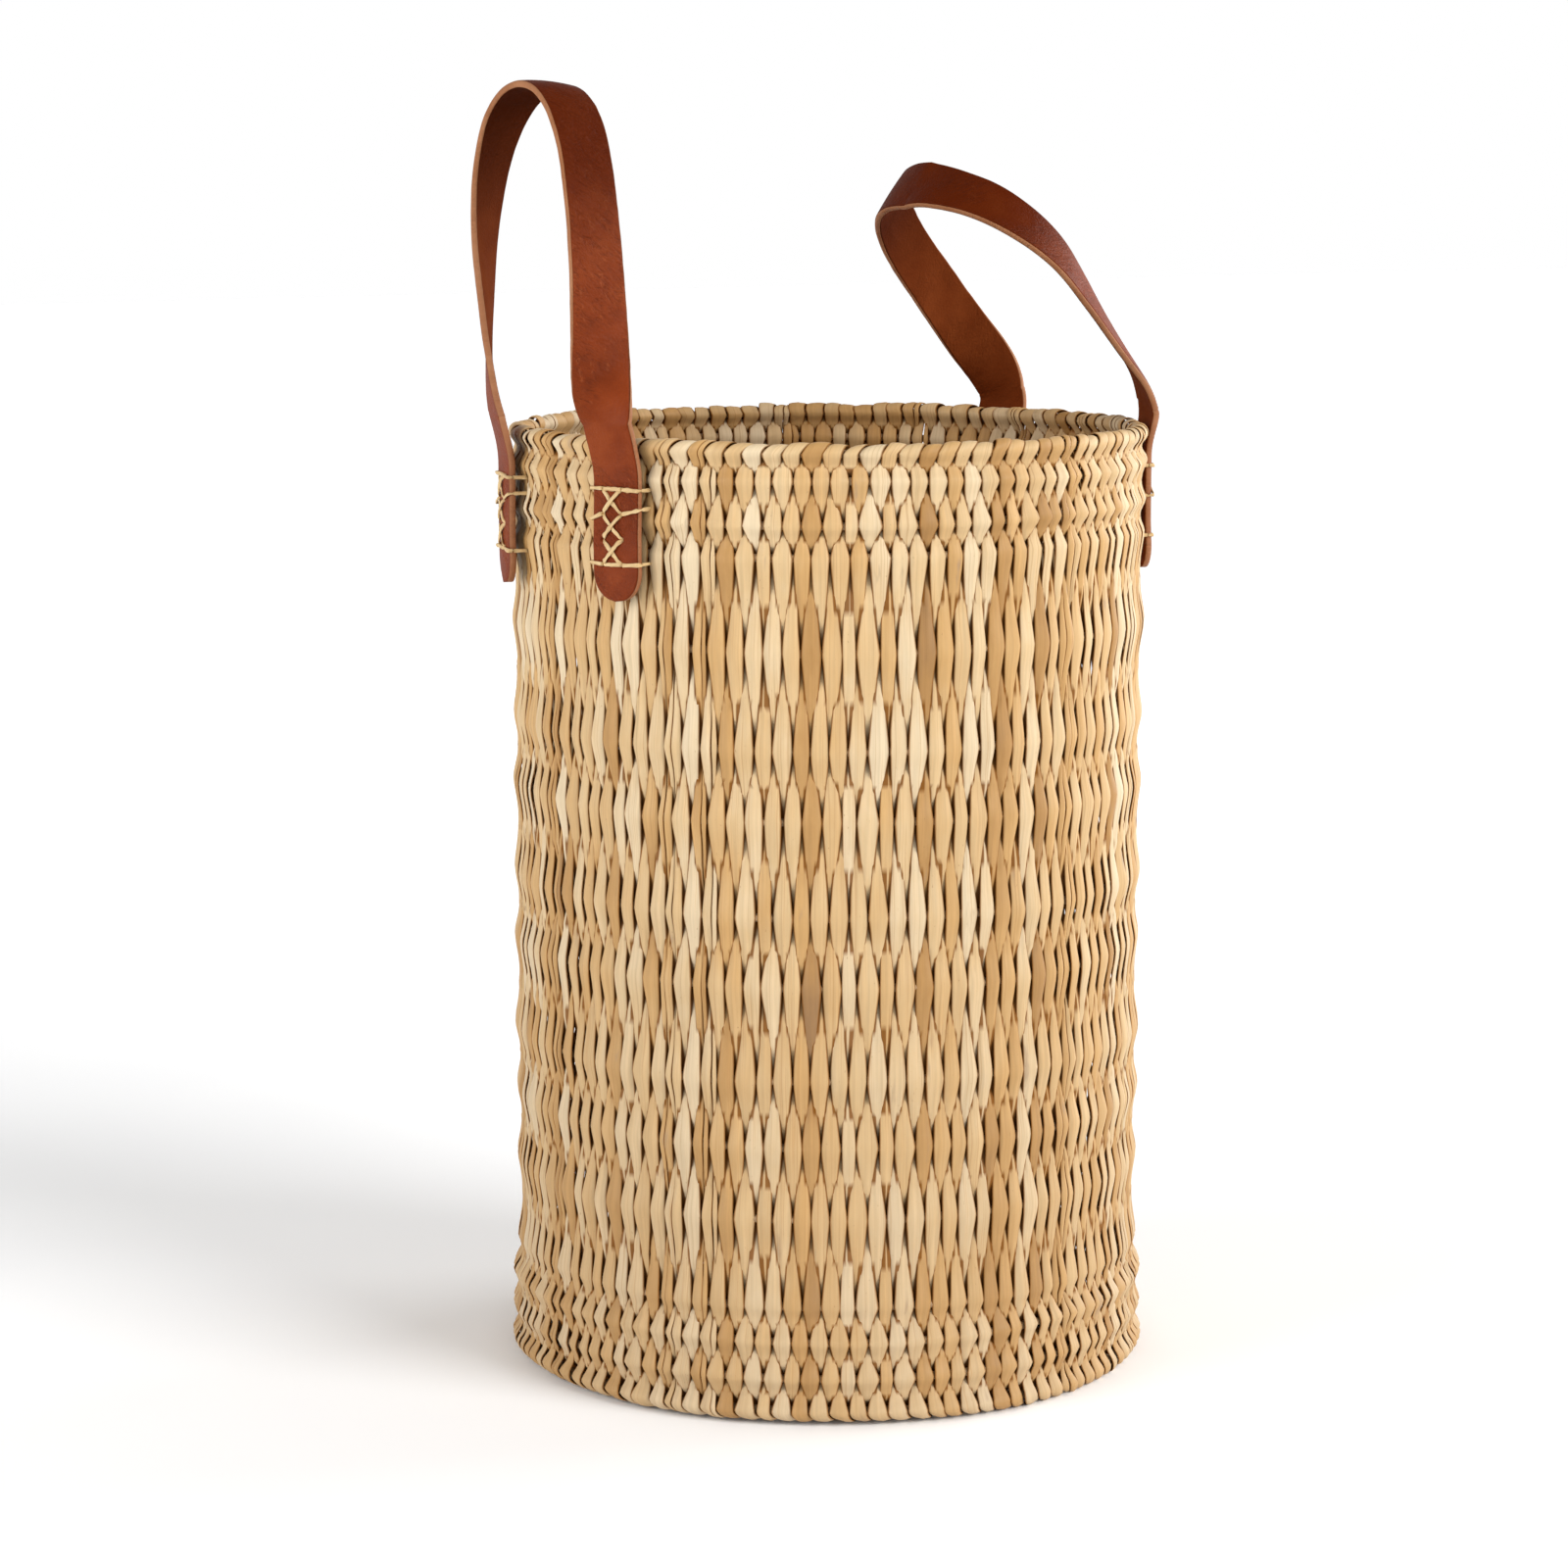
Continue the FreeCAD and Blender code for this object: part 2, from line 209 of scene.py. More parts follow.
class Skin:
    """Points, faces and point attributes of one mesh, gathered tube by tube."""

    def __init__(self, *attribute_names):
        self.names = attribute_names
        self.points = []
        self.loops = []
        self.sizes = []
        self.attributes = {name: [] for name in attribute_names}
        self.count = 0

    def tube(self, rings, **attributes):
        """Add a closed tube: rings is stations x points x 3, and each attribute has the same form."""
        stations, around, _ = rings.shape
        index = self.count + np.arange(stations * around).reshape(stations, around)
        following = np.roll(index, -1, axis=1)
        quads = np.stack([index[:-1], following[:-1], following[1:], index[1:]], axis=-1)
        self.points.append(rings.reshape(-1, 3))
        self.loops.append(quads.reshape(-1))
        self.sizes.append(np.full((stations - 1) * around, 4))
        self.loops.append(index[0, ::-1])
        self.loops.append(index[-1])
        self.sizes.append(np.array([around, around]))
        for name in self.names:
            self.attributes[name].append(attributes[name].reshape(-1, 3))
        self.count += stations * around

    def build(self, name):
        """Make the mesh object from the gathered tubes."""
        points = np.concatenate(self.points)
        loops = np.concatenate(self.loops)
        sizes = np.concatenate(self.sizes)
        mesh = bpy.data.meshes.new(name)
        mesh.vertices.add(len(points))
        mesh.vertices.foreach_set("co", points.astype(np.float32).reshape(-1))
        mesh.loops.add(len(loops))
        mesh.loops.foreach_set("vertex_index", loops.astype(np.int32))
        mesh.polygons.add(len(sizes))
        starts = np.concatenate([[0], np.cumsum(sizes)[:-1]])
        mesh.polygons.foreach_set("loop_start", starts.astype(np.int32))
        mesh.update(calc_edges=True)
        mesh.polygons.foreach_set("use_smooth", np.ones(len(sizes), dtype=bool))
        for attribute_name in self.names:
            values = np.concatenate(self.attributes[attribute_name]).astype(np.float32)
            attribute = mesh.attributes.new(attribute_name, "FLOAT_VECTOR", "POINT")
            attribute.data.foreach_set("vector", values.reshape(-1))
        return new_object(name, mesh)


def ease(value):
    """Smooth step from 0 to 1."""
    value = np.clip(value, 0.0, 1.0)
    return value * value * (3 - 2 * value)


def mix(first, last, share):
    """From the first value to the last by a share of 0 to 1."""
    return first * (1 - share) + last * share


def wander(rng, along, spacing, size):
    """A smooth random curve over the positions along, with a knot every spacing."""
    reach = float(np.max(along) - np.min(along))
    knots = rng.normal(0.0, size, int(reach / spacing) + 3)
    place = (along - np.min(along)) / spacing
    low = np.floor(place).astype(int)
    return mix(knots[low], knots[low + 1], ease(place - low))


# ---------------------------------------------------------------- weave

def hoop_waves(rng):
    """Gentle waves of every hoop, as amplitudes and phases for its height and its radius."""
    orders = np.arange(1, WAVE_ORDERS + 1)
    each = (HOOP_COUNT, WAVE_ORDERS)
    height = rng.normal(0.0, HEIGHT_WAVE, each) / np.sqrt(orders)
    height_phase = rng.uniform(0, FULL_TURN, each)
    shared = rng.normal(0.0, SHARED_WAVE, WAVE_ORDERS)
    radius = shared + rng.normal(0.0, OWN_WAVE, each)
    radius_phase = rng.uniform(0, FULL_TURN, WAVE_ORDERS) + rng.normal(0, PHASE_DRIFT, each)
    return {
        "orders": orders,
        "height": height,
        "height_phase": height_phase,
        "radius": radius,
        "radius_phase": radius_phase,
    }


def hoop_wave(waves, kind, index, angle):
    """How far the height or radius of a hoop is off its mean, at an angle."""
    turn = np.multiply.outer(angle, waves["orders"]) + waves[kind + "_phase"][index]
    return (waves[kind][index] * np.sin(turn)).sum(axis=-1)


def hoop_height(waves, index, angle):
    """Height of a hoop at an angle."""
    lift = BOTTOM_LIFT if index == HOOP_COUNT - 1 else 0.0
    return HOOP_HEIGHTS[index] + lift + hoop_wave(waves, "height", index, angle)


def hoop_radius(waves, index, angle):
    """Radius of a hoop at an angle: the border hoops and the bottom hoop flare out a little."""
    kind = HOOP_NAMES[index].split("_hoop")[0]
    return HOOP_RADIUS + HOOP_FLARE.get(kind, 0.0) + hoop_wave(waves, "radius", index, angle)


def leaf_slots(rng):
    """Edges of every strand's place at every hoop, in strand steps, and its gaps, by family of strands."""
    step = HOOP_RADIUS * STRAND_STEP
    all_hoops = (2, 1, LEAF_COUNT)
    each_hoop = (2, HOOP_COUNT, LEAF_COUNT)
    lasting = rng.normal(0.0, LASTING_SHIFT, all_hoops)
    passing = rng.normal(0.0, PASSING_SHIFT, each_hoop)
    gap = LEAF_GAP * rng.uniform(0.3, 1.9, each_hoop)
    wide = rng.random(all_hoops) < WIDE_GAPS
    gap = gap + wide * rng.uniform(0.2, 1.0, each_hoop) * MM
    return (lasting + passing) / step, gap


def pinch_curve(share, bend):
    """1 at a hoop and 0 at the crossing, with a bend of the given relative size over the hoop."""
    top = math.sqrt(1 + bend * bend)
    return (top - np.sqrt(share * share + bend * bend)) / (top - bend)


# What each station of a leaf knows: its place, the hoops' line, its half widths, crown, thickness and tilt,
# how pinched it is, where its crown is highest, the line between the two leaves that cross over it, half
# the opening that they leave, and the side on which they cover it.
LEG_KEYS = (
    "r", "z", "angle", "base", "left", "right", "crown", "thick", "tilt",
    "pinch", "crest", "bound", "reach", "cover",
)


def strand_leg(rng, strand, waves, slots, gaps):
    """Stations of one strand from the rim hoop down to the bottom hoop."""
    family = strand % 2
    place = strand // 2
    angle0 = strand * STRAND_STEP
    following = (place + 1) % LEAF_COUNT
    left = slots[family, :, place]
    right = slots[family, :, following]
    boundary = slots[1 - family, :, place if family == 0 else following]
    centre = angle0 + (left + right) / 2 * STRAND_STEP
    span = (2 + right - left) * STRAND_STEP
    heights = [float(hoop_height(waves, hoop, angle0)) for hoop in range(HOOP_COUNT)]
    radii = [float(hoop_radius(waves, hoop, angle0)) for hoop in range(HOOP_COUNT)]
    sides = np.where((np.arange(HOOP_COUNT) + family) % 2 == 0, 1.0, -1.0)
    swings = np.full(HOOP_COUNT, HOOP_SWING)
    swings[WALL_FIRST:WALL_LAST + 1] = WALL_SWING
    swings[0] = RIM_SWING
    swings[-1] = BOTTOM_SWING
    tilts = rng.normal(0.0, LEAF_TILT, HOOP_COUNT)
    crests = rng.uniform(-CREST_SHIFT, CREST_SHIFT, HOOP_COUNT)
    crossings = rng.uniform(*CROSSING, HOOP_COUNT)
    powers = rng.uniform(*PINCH_POWER, (HOOP_COUNT, 2, 2))
    parts = {key: [] for key in LEG_KEYS}
    for hoop in range(HOOP_COUNT - 1):
        length = heights[hoop] - heights[hoop + 1]
        count = LONG_RUN_STATIONS if length > LONG_RUN else SHORT_RUN_STATIONS
        last = 1 if hoop == HOOP_COUNT - 2 else 0
        t = np.linspace(0, 1, count + 1)[:count + last]
        eased = ease(t)
        crossing = crossings[hoop]
        upper = t < crossing
        near = np.where(upper, hoop, hoop + 1)
        u = np.where(upper, t / crossing, (1 - t) / (1 - crossing))
        bend = (LONG_BEND if length > LONG_RUN else BORDER_BEND) / (length / 2)
        curve = pinch_curve(u, bend) ** RUN_POWER
        pinch_width = RIM_PINCH_WIDTH if hoop == 0 else PINCH_WIDTH
        radius = mix(radii[hoop], radii[hoop + 1], eased)
        body_width = span[near] * (radius + sides[near] * SIDE_OFFSET) - gaps[family, near, place]
        parts["bound"].append(angle0 + boundary[near] * STRAND_STEP)
        parts["cover"].append(-sides[near])
        for key, edge in (("left", 0), ("right", 1)):
            power = np.where(upper, powers[hoop, 1, edge], powers[hoop + 1, 0, edge])
            parts[key].append(mix(body_width, pinch_width, u ** power) / 2)
        parts["reach"].append(body_width / 2 - (parts["left"][-1] + parts["right"][-1]) / 2)
        parts["r"].append(radius + sides[near] * swings[near] * curve)
        parts["z"].append(heights[hoop] - length * t)
        parts["angle"].append(mix(centre[hoop], centre[hoop + 1], eased))
        parts["base"].append(radius)
        parts["crown"].append(sides[near] * np.where(near == 0, RIM_CROWN, LEAF_CROWN) * curve)
        parts["thick"].append(LEAF_THICKNESS + (PINCH_THICKNESS - LEAF_THICKNESS) * u ** THICKEN_POWER)
        parts["tilt"].append(mix(tilts[hoop], tilts[hoop + 1], eased))
        parts["crest"].append(mix(crests[hoop], crests[hoop + 1], eased))
        parts["pinch"].append(u ** PLEAT_POWER)
    leg = {key: np.concatenate(values) for key, values in parts.items()}
    leg["radius"] = radii
    leg["height"] = heights
    return leg


def fold(leg, turn, stations, drift, shrink):
    """Stations that carry a leg on round the bottom hoop, by a turn in radians."""
    reach = leg["r"][-1] - leg["radius"][-1]
    share = np.linspace(0, 1, stations + 1)[1:]
    phi = share * turn
    arc = {
        "r": leg["radius"][-1] + reach * np.cos(phi),
        "z": leg["height"][-1] + abs(reach) * np.sin(phi),
        "angle": leg["angle"][-1] + drift * ease(share),
        "left": leg["left"][-1] * (1 - shrink * share),
        "right": leg["right"][-1] * (1 - shrink * share),
        "pinch": 0.5 * share,
        "reach": np.ones(stations),
        "cover": np.zeros(stations),
    }
    for key in ("base", "crown", "thick", "tilt", "crest", "bound"):
        arc[key] = np.full(stations, leg[key][-1])
    return arc


def leaf_path(rng, leaf, waves, slots, gaps):
    """One whole leaf: up the even strand, over the rim hoop and down the odd strand beside it."""
    up = strand_leg(rng, 2 * leaf, waves, slots, gaps)
    down = strand_leg(rng, 2 * leaf + 1, waves, slots, gaps)
    share = np.linspace(0, 1, OVER_STATIONS + 2)[1:-1]
    phi = share * math.pi
    hump = np.sin(phi)
    swing = RIM_SWING + rng.uniform(*RIM_LIFT) * hump
    slant = rng.normal(*RIM_SLANT) * STRAND_STEP * hump
    ring_r = (up["radius"][0] + down["radius"][0]) / 2
    ring_z = (up["height"][0] + down["height"][0]) / 2
    over = {
        "r": ring_r + swing * np.cos(phi),
        "z": ring_z + swing * hump,
        "angle": mix(up["angle"][0], down["angle"][0], ease(share)) + slant,
        "left": mix(up["left"][0], down["left"][0], share) * (1 + RIM_BULGE * hump),
        "right": mix(up["right"][0], down["right"][0], share) * (1 + RIM_BULGE * hump),
        "tilt": mix(up["tilt"][0], -down["tilt"][0], share),
        "crest": mix(up["crest"][0], -down["crest"][0], share),
        "pinch": 0.25 * hump,
    }
    steady = {"base": ring_r, "crown": RIM_CROWN, "thick": LEAF_THICKNESS, "bound": up["angle"][0],
              "reach": 1.0, "cover": 0.0}
    for key, value in steady.items():
        over[key] = np.full(OVER_STATIONS, value)
    tail_in = fold(up, turn=-0.35 * math.pi, stations=4, drift=0.0, shrink=0.5)
    tail_out = fold(down, turn=-0.62 * math.pi, stations=9, drift=STRAND_STEP, shrink=0.15)
    path = {}
    for key in LEG_KEYS:
        sign = -1.0 if key in ("crown", "tilt", "crest") else 1.0
        first = np.concatenate([up[key], tail_in[key]])[::-1]
        second = np.concatenate([down[key], tail_out[key]]) * sign
        path[key] = np.concatenate([first, over[key], second])
    run_r = np.gradient(path["r"])
    run_z = np.gradient(path["z"])
    length = np.hypot(run_r, run_z)
    path["normal_r"] = run_z / length
    path["normal_z"] = -run_r / length
    steps = np.hypot(np.diff(path["r"]), np.diff(path["z"]))
    path["along"] = np.concatenate([[0.0], np.cumsum(steps)])
    half = len(up["r"]) + len(tail_in["r"])
    path["leg"] = np.clip((np.arange(len(path["r"])) - half) / OVER_STATIONS, 0.0, 1.0)
    return path


def add_ribbon(skin, rng, path, share, tones, number):
    """Add one strip of a leaf, between two shares of its width, as a thin crowned tube."""
    around_out = 9 if share[1] - share[0] > 1.2 else 7
    outer = -np.cos(np.linspace(0, math.pi, around_out))
    local = np.concatenate([outer, outer[-2:0:-1]])
    face = np.concatenate([np.ones(around_out), -np.ones(around_out - 2)])
    face[0] = face[around_out - 1] = 0.0
    whole = share[1] - share[0] > 1.99
    column = {key: values[:, None] for key, values in path.items()}
    pinch = np.clip(column["pinch"], 0, 1)
    slit = SLIT * (1 - SLIT_CLOSING * pinch) * rng.uniform(0.5, 1.5)
    low = share[0] + (0 if share[0] == -1 else 1) * slit
    high = share[1] - (0 if share[1] == 1 else 1) * slit
    across = (low + high) / 2 + (high - low) / 2 * local
    side = np.where(across < 0, column["left"], column["right"]) * across
    crest = column["crest"]
    roof = rng.uniform(1.15, 2.3)
    bow = 1 - np.abs(across - crest) ** roof / (1 + np.abs(crest)) ** roof
    offset = column["crown"] * bow + column["tilt"] * side
    if not whole:
        lift = wander(rng, path["along"], *STRIP_LIFT)[:, None]
        offset = offset + lift + np.sign(column["crown"]) * STRIP_CROWN * (1 - local ** 2)
    phase = rng.uniform(0, FULL_TURN)
    folds = 2.0 + rng.uniform(0.0, 1.5)
    pleat = np.cos(folds * math.pi * across + phase + wander(rng, path["along"], *PLEAT_DRIFT)[:, None])
    offset = offset + PLEAT_DEPTH * column["pinch"] * pleat * (1 - local ** 4)
    flat_body = np.sqrt(np.clip(1 - local ** 4, 0.0, 1.0))
    ridge_body = np.clip(1 - np.abs(local) ** 1.35, 0.0, 1.0)
    body = flat_body + (ridge_body - flat_body) * pinch
    offset = offset + face * body * column["thick"] / 2 * (1.0 if whole else STRIP_THICKNESS)
    side = side + wander(rng, path["along"], *SWAY)[:, None]
    edge_wave = wander(rng, path["along"], *EDGE_WAVE)[:, None]
    side = side + edge_wave * np.abs(local) ** 3 * np.sign(local)
    angle = column["angle"] + side / column["r"]
    r = column["r"] + column["normal_r"] * offset
    z = np.maximum(column["z"] + column["normal_z"] * offset, FLOOR_CLEARANCE)
    rings = np.stack([r * np.cos(angle), r * np.sin(angle), z], axis=-1)
    blank = np.zeros_like(r)
    tone = mix(tones[0], tones[1], column["leg"])
    tone = tone + wander(rng, path["along"], *TONE_DRIFT)[:, None] + blank
    place = np.stack([side + blank, column["along"] + blank, number + blank], axis=-1)
    outwards = np.where(face * column["normal_r"] >= 0, 1.0, -1.0)
    depth = HOOP_SWING + LEAF_CROWN - outwards * (r - column["base"])
    shadow = ease((depth - SHADOW_DEPTH[0]) / (SHADOW_DEPTH[1] - SHADOW_DEPTH[0]))
    shadow = np.maximum(shadow, np.where(outwards < 0, INSIDE_SHADE, 0.0))
    look = np.stack([tone, np.abs(local) + blank, shadow + blank], axis=-1)
    hidden = (outwards * column["cover"] > 0).astype(float)
    from_bound = side - (column["bound"] - column["angle"]) * column["r"]
    cover = np.stack([from_bound + blank, column["reach"] + blank, hidden + blank], axis=-1)
    skin.tube(rings, leaf_place=place, leaf_look=look, leaf_cover=cover)


def split_shares(rng):
    """How a leaf is split along its length: shares of its width from -1 to 1."""
    kind = rng.random()
    if kind < WHOLE_LEAVES:
        return [(-1.0, 1.0)]
    if kind < FEW_STRIPS:
        cut = rng.uniform(-0.5, 0.5)
        return [(-1.0, cut), (cut, 1.0)]
    first = rng.uniform(-0.5, -0.15)
    second = rng.uniform(0.15, 0.5)
    return [(-1.0, first), (first, second), (second, 1.0)]


def leaf_tone(rng):
    """Random place of a leaf in the colour range: 0 is palest cream and 1 is brownest."""
    kind = rng.random()
    low, high = next((low, high) for share, low, high in LEAF_TONES if kind < share)
    return rng.uniform(low, high)


def make_wall(rng, waves, material):
    """The woven wall, in twelve pieces of nine leaves each."""
    slots, gaps = leaf_slots(rng)
    count = LEAF_COUNT // SECTOR_COUNT
    for sector in range(SECTOR_COUNT):
        skin = Skin("leaf_place", "leaf_look", "leaf_cover")
        for leaf in range(sector * count, (sector + 1) * count):
            path = leaf_path(rng, leaf, waves, slots, gaps)
            tone = leaf_tone(rng)
            tones = (tone, OWN_TONE * tone + (1 - OWN_TONE) * leaf_tone(rng))
            for share in split_shares(rng):
                add_ribbon(skin, rng, path, share, tones, float(leaf))
        wall = skin.build("leaf_wall_%02d" % (sector + 1))
        wall.data.materials.append(material)
        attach(wall, "basket")
        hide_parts("wall_strands_%02d" % (sector + 1))


def make_hoops(rng, waves, material):
    """Bent reed hoops that follow the weave's gentle waves."""
    angle = np.linspace(0, FULL_TURN, HOOP_STATIONS, endpoint=False)
    turn = np.linspace(0, FULL_TURN, ROD_SIDES, endpoint=False)
    for index, name in enumerate(HOOP_NAMES):
        height = hoop_height(waves, index, angle)
        radius = hoop_radius(waves, index, angle)
        rod = ROD_RADIUS * (1 - ROD_UNEVENNESS * rng.random(HOOP_STATIONS))
        r = radius[:, None] + rod[:, None] * np.cos(turn)
        z = height[:, None] + rod[:, None] * np.sin(turn)
        rings = np.stack([r * np.cos(angle)[:, None], r * np.sin(angle)[:, None], z], axis=-1)
        hoop = closed_ring(rings, "reed_" + name)
        hoop.data.materials.append(material)
        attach(hoop, "basket")
        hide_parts(name)


def closed_ring(rings, name):
    """A torus-like mesh from rings that join up again."""
    stations, around, _ = rings.shape
    index = np.arange(stations * around).reshape(stations, around)
    following = np.roll(index, -1, axis=1)
    next_ring = np.roll(index, -1, axis=0)
    faces = np.stack([index, following, np.roll(following, -1, axis=0), next_ring], axis=-1)
    mesh = bpy.data.meshes.new(name)
    mesh.from_pydata(rings.reshape(-1, 3).tolist(), [], faces.reshape(-1, 4).tolist())
    mesh.polygons.foreach_set("use_smooth", np.ones(len(mesh.polygons), dtype=bool))
    mesh.flip_normals()
    return new_object(name, mesh)


# ---------------------------------------------------------------- straps

STRAP_WIDTH = 26.6 * MM
STRAP_THICKNESS = 3.2 * MM
TAB_RADIUS = 154.4 * MM
FREE_HEIGHT = 428 * MM        # above the top stitches the strap bows away from the wall
STITCH_TOP = 424 * MM
STITCH_PITCH = 11.3 * MM
HOLE_COLUMNS = (-7 * MM, 4 * MM)
STITCH_ROWS = 4
HOLE_RADIUS = 1.35 * MM
HOLE_LIP = 0.7 * MM
HOLE_DEPTH = 2.0 * MM
LEVEL_STITCH_ROWS = (0, 3)
SIDE_STITCH_ROWS = (0, 1, 3)
SIDE_STITCH_SLANT = 3.0 * MM
THREAD_WIDTH = 1.8 * MM
THREAD_THICKNESS = 0.8 * MM
THREAD_LIFT = 0.75 * MM
THREAD_STATIONS = 44
GRIP_REACH = 130 * MM         # painted shade over the top of the loop, this far each way from its middle
GRIP_FADE = 90 * MM
BEND_BELOW = 12 * MM          # the leather bends from here below its hinge
BEND_ABOVE = 18 * MM          # to here above it
TAB_STATION = 0.5 * MM
LOOP_STATION = 1.6 * MM
LEG_SAMPLES = 300
CROWN_SAMPLES = 2000
LEAN_SAMPLES = 1500
FLAT_POINTS = 52              # points across each face of a strap, and round each edge
EDGE_POINTS = 5
STRAP_CUP = 0.35 * MM
STRAP_BUCKLE = (30 * MM, 0.35 * MM)    # random curves along a strap, as the spacing and size of their knots
CUT_WAVE = (22 * MM, 0.16 * MM)
CUT_NICKS = (4 * MM, 0.05 * MM)
THREAD_SIDES = 12
THREAD_TWIST = (7 * MM, 0.30)
THREAD_UNEVENNESS = (2.5 * MM, 0.12)
THREAD_RIDGE = 0.13
THREAD_START = -0.6 * HOLE_DEPTH       # inside its hole

# Side of the basket and half angle between the tabs, in degrees, height of the loop and of its curved crown,
# squareness of the crown, how far the strap stands off at the hinge, lean towards the axis where the loop
# leaves the tabs, once settled and added towards the crown, swell of the legs, shift of the crown, and how
# early each leg turns from facing outwards to facing along the rim (1 is even).
HANDLES = {
    "left": {
        "side": 180.0, "spread": 18.7, "rise": 150.2 * MM, "crown": 93.9 * MM, "square": 0.866,
        "flare": 4.9 * MM, "first": -13.0, "lean": -1.5, "settle": 24 * MM, "droop": 5.9,
        "droop_start": 60 * MM,
        "swell": -0.003, "shift": -2.4 * MM, "first_turn": 1.0, "last_turn": 6.1,
    },
    "right": {
        "side": 0.0, "spread": 22.5, "rise": 145.5 * MM, "crown": 63.0 * MM, "square": 0.906,
        "flare": 3.6 * MM, "first": 20.0, "lean": 43.1, "settle": 22 * MM, "droop": 9.1,
        "droop_start": 65 * MM,
        "swell": 0.054, "shift": -11.3 * MM, "first_turn": 0.67, "last_turn": 5.6,
    },
}


def unit(vector):
    """Vectors scaled to length 1, along the last axis."""
    return vector / np.linalg.norm(vector, axis=-1, keepdims=True)


def hinge_height(name):
    """Height of a handle's hinge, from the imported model."""
    return next(j for j in frame["joints"] if j["child"] == name + "_handle")["pos_m"][2]


def resample(places, known, values):
    """Rows of values, known at some places along a line, at other places on it."""
    return np.stack([np.interp(places, known, values[:, axis]) for axis in range(3)], axis=1)


def strap_line(name):
    """Centre, width direction and face direction of a strap, end to end, and the distance along it."""
    handle = HANDLES[name]
    side = math.radians(handle["side"])
    spread = math.radians(handle["spread"])
    up = np.array([0.0, 0.0, 1.0])
    outward = np.array([math.cos(side), math.sin(side), 0.0])
    chord = np.cross(up, outward)
    tab_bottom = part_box(name + "_front_tab")[0].z
    hinge = hinge_height(name)
    rise_height = handle["rise"]
    straight = rise_height - handle["crown"]
    half_chord = TAB_RADIUS * math.sin(spread)
    leg_u = np.full(LEG_SAMPLES, half_chord)
    leg_v = np.linspace(0, straight, LEG_SAMPLES)
    crown_angle = np.linspace(0, math.pi, CROWN_SAMPLES)[1:-1]
    crown_cos = np.cos(crown_angle)
    crown_u = -np.sign(crown_cos) * np.abs(crown_cos) ** handle["square"] * half_chord
    crown_v = straight + np.sin(crown_angle) ** handle["square"] * handle["crown"]
    u = np.concatenate([-leg_u, crown_u, leg_u])
    v = np.concatenate([leg_v, crown_v, leg_v[::-1]])
    u = u * (1 + handle["swell"] * np.sin(math.pi * np.clip(v / rise_height, 0, 1)))
    u = u + handle["shift"] * ease(v / rise_height)
    lift_v = np.linspace(0, rise_height * 1.01, LEAN_SAMPLES)
    first, lean, droop = (math.radians(handle[key]) for key in ("first", "lean", "droop"))
    droop_share = (lift_v - handle["droop_start"]) / (rise_height - handle["droop_start"])
    lean_v = first + (lean - first) * ease(lift_v / handle["settle"]) + droop * ease(droop_share)
    step = lift_v[1] - lift_v[0]
    rise_up = np.concatenate([[0], np.cumsum(np.cos(lean_v) * step)[:-1]])
    rise_in = np.concatenate([[0], np.cumsum(np.sin(lean_v) * step)[:-1]])
    lean_here = np.interp(v, lift_v, lean_v)
    origin = outward * (TAB_RADIUS * math.cos(spread) + handle["flare"]) + up * hinge
    centre = (
        origin
        + chord * u[:, None]
        + up * np.interp(v, lift_v, rise_up)[:, None]
        - outward * np.interp(v, lift_v, rise_in)[:, None]
    )
    tangent = unit(np.gradient(centre, axis=0))
    steps = np.linalg.norm(np.diff(centre, axis=0), axis=1)
    along = np.concatenate([[0], np.cumsum(steps)])
    share = along / along[-1]
    rising = up * np.cos(lean_here)[:, None] - outward * np.sin(lean_here)[:, None]
    away = outward * np.cos(lean_here)[:, None] + up * np.sin(lean_here)[:, None]
    du = (tangent @ chord)[:, None]
    dv = np.sum(tangent * rising, axis=1)[:, None]
    in_plane = rising * du - chord * dv
    from_crown = 1 - 2 * share
    turn_power = np.where(from_crown > 0, handle["first_turn"], handle["last_turn"])
    turn = ((math.pi / 2 - spread) * np.abs(from_crown) ** turn_power)[:, None]
    face = unit(in_plane * np.cos(turn) + away * np.sin(turn))
    tab_length = hinge - tab_bottom
    tab_count = int(tab_length / TAB_STATION)
    ends = []
    for sign in (-1, 1):
        radial = outward * math.cos(spread) + chord * (sign * math.sin(spread))
        heights = np.linspace(tab_bottom, hinge, tab_count + 1)[:-1]
        free = hinge - FREE_HEIGHT
        bend = np.clip((heights - FREE_HEIGHT) / free, 0, 1)
        bow = handle["flare"] * ease(bend) - free * math.tan(first) * (bend ** 3 - bend ** 2)
        line = radial * TAB_RADIUS + outward * bow[:, None] + up * heights[:, None]
        ends.append((line, np.repeat(radial[None, :], len(heights), axis=0), heights - tab_bottom))
    count = int(along[-1] / LOOP_STATION)
    spots = np.linspace(0, along[-1], count)
    points = np.concatenate([ends[0][0], resample(spots, along, centre), ends[1][0][::-1]])
    faces = np.concatenate([ends[0][1], unit(resample(spots, along, face)), ends[1][1][::-1]])
    total = tab_length + along[-1]
    distance = np.concatenate([ends[0][2], tab_length + spots, (total + tab_length - ends[1][2])[::-1]])
    soft = np.ones(5) / 5
    for axis in range(3):
        padded = np.pad(points[:, axis], 2, mode="edge")
        smooth = np.convolve(padded, soft, mode="valid")
        points[2:-2, axis] = smooth[2:-2]
    direction = unit(np.gradient(points, axis=0))
    faces = unit(faces - direction * np.sum(faces * direction, axis=1, keepdims=True))
    widths = np.cross(direction, faces)
    return points, widths, faces, distance


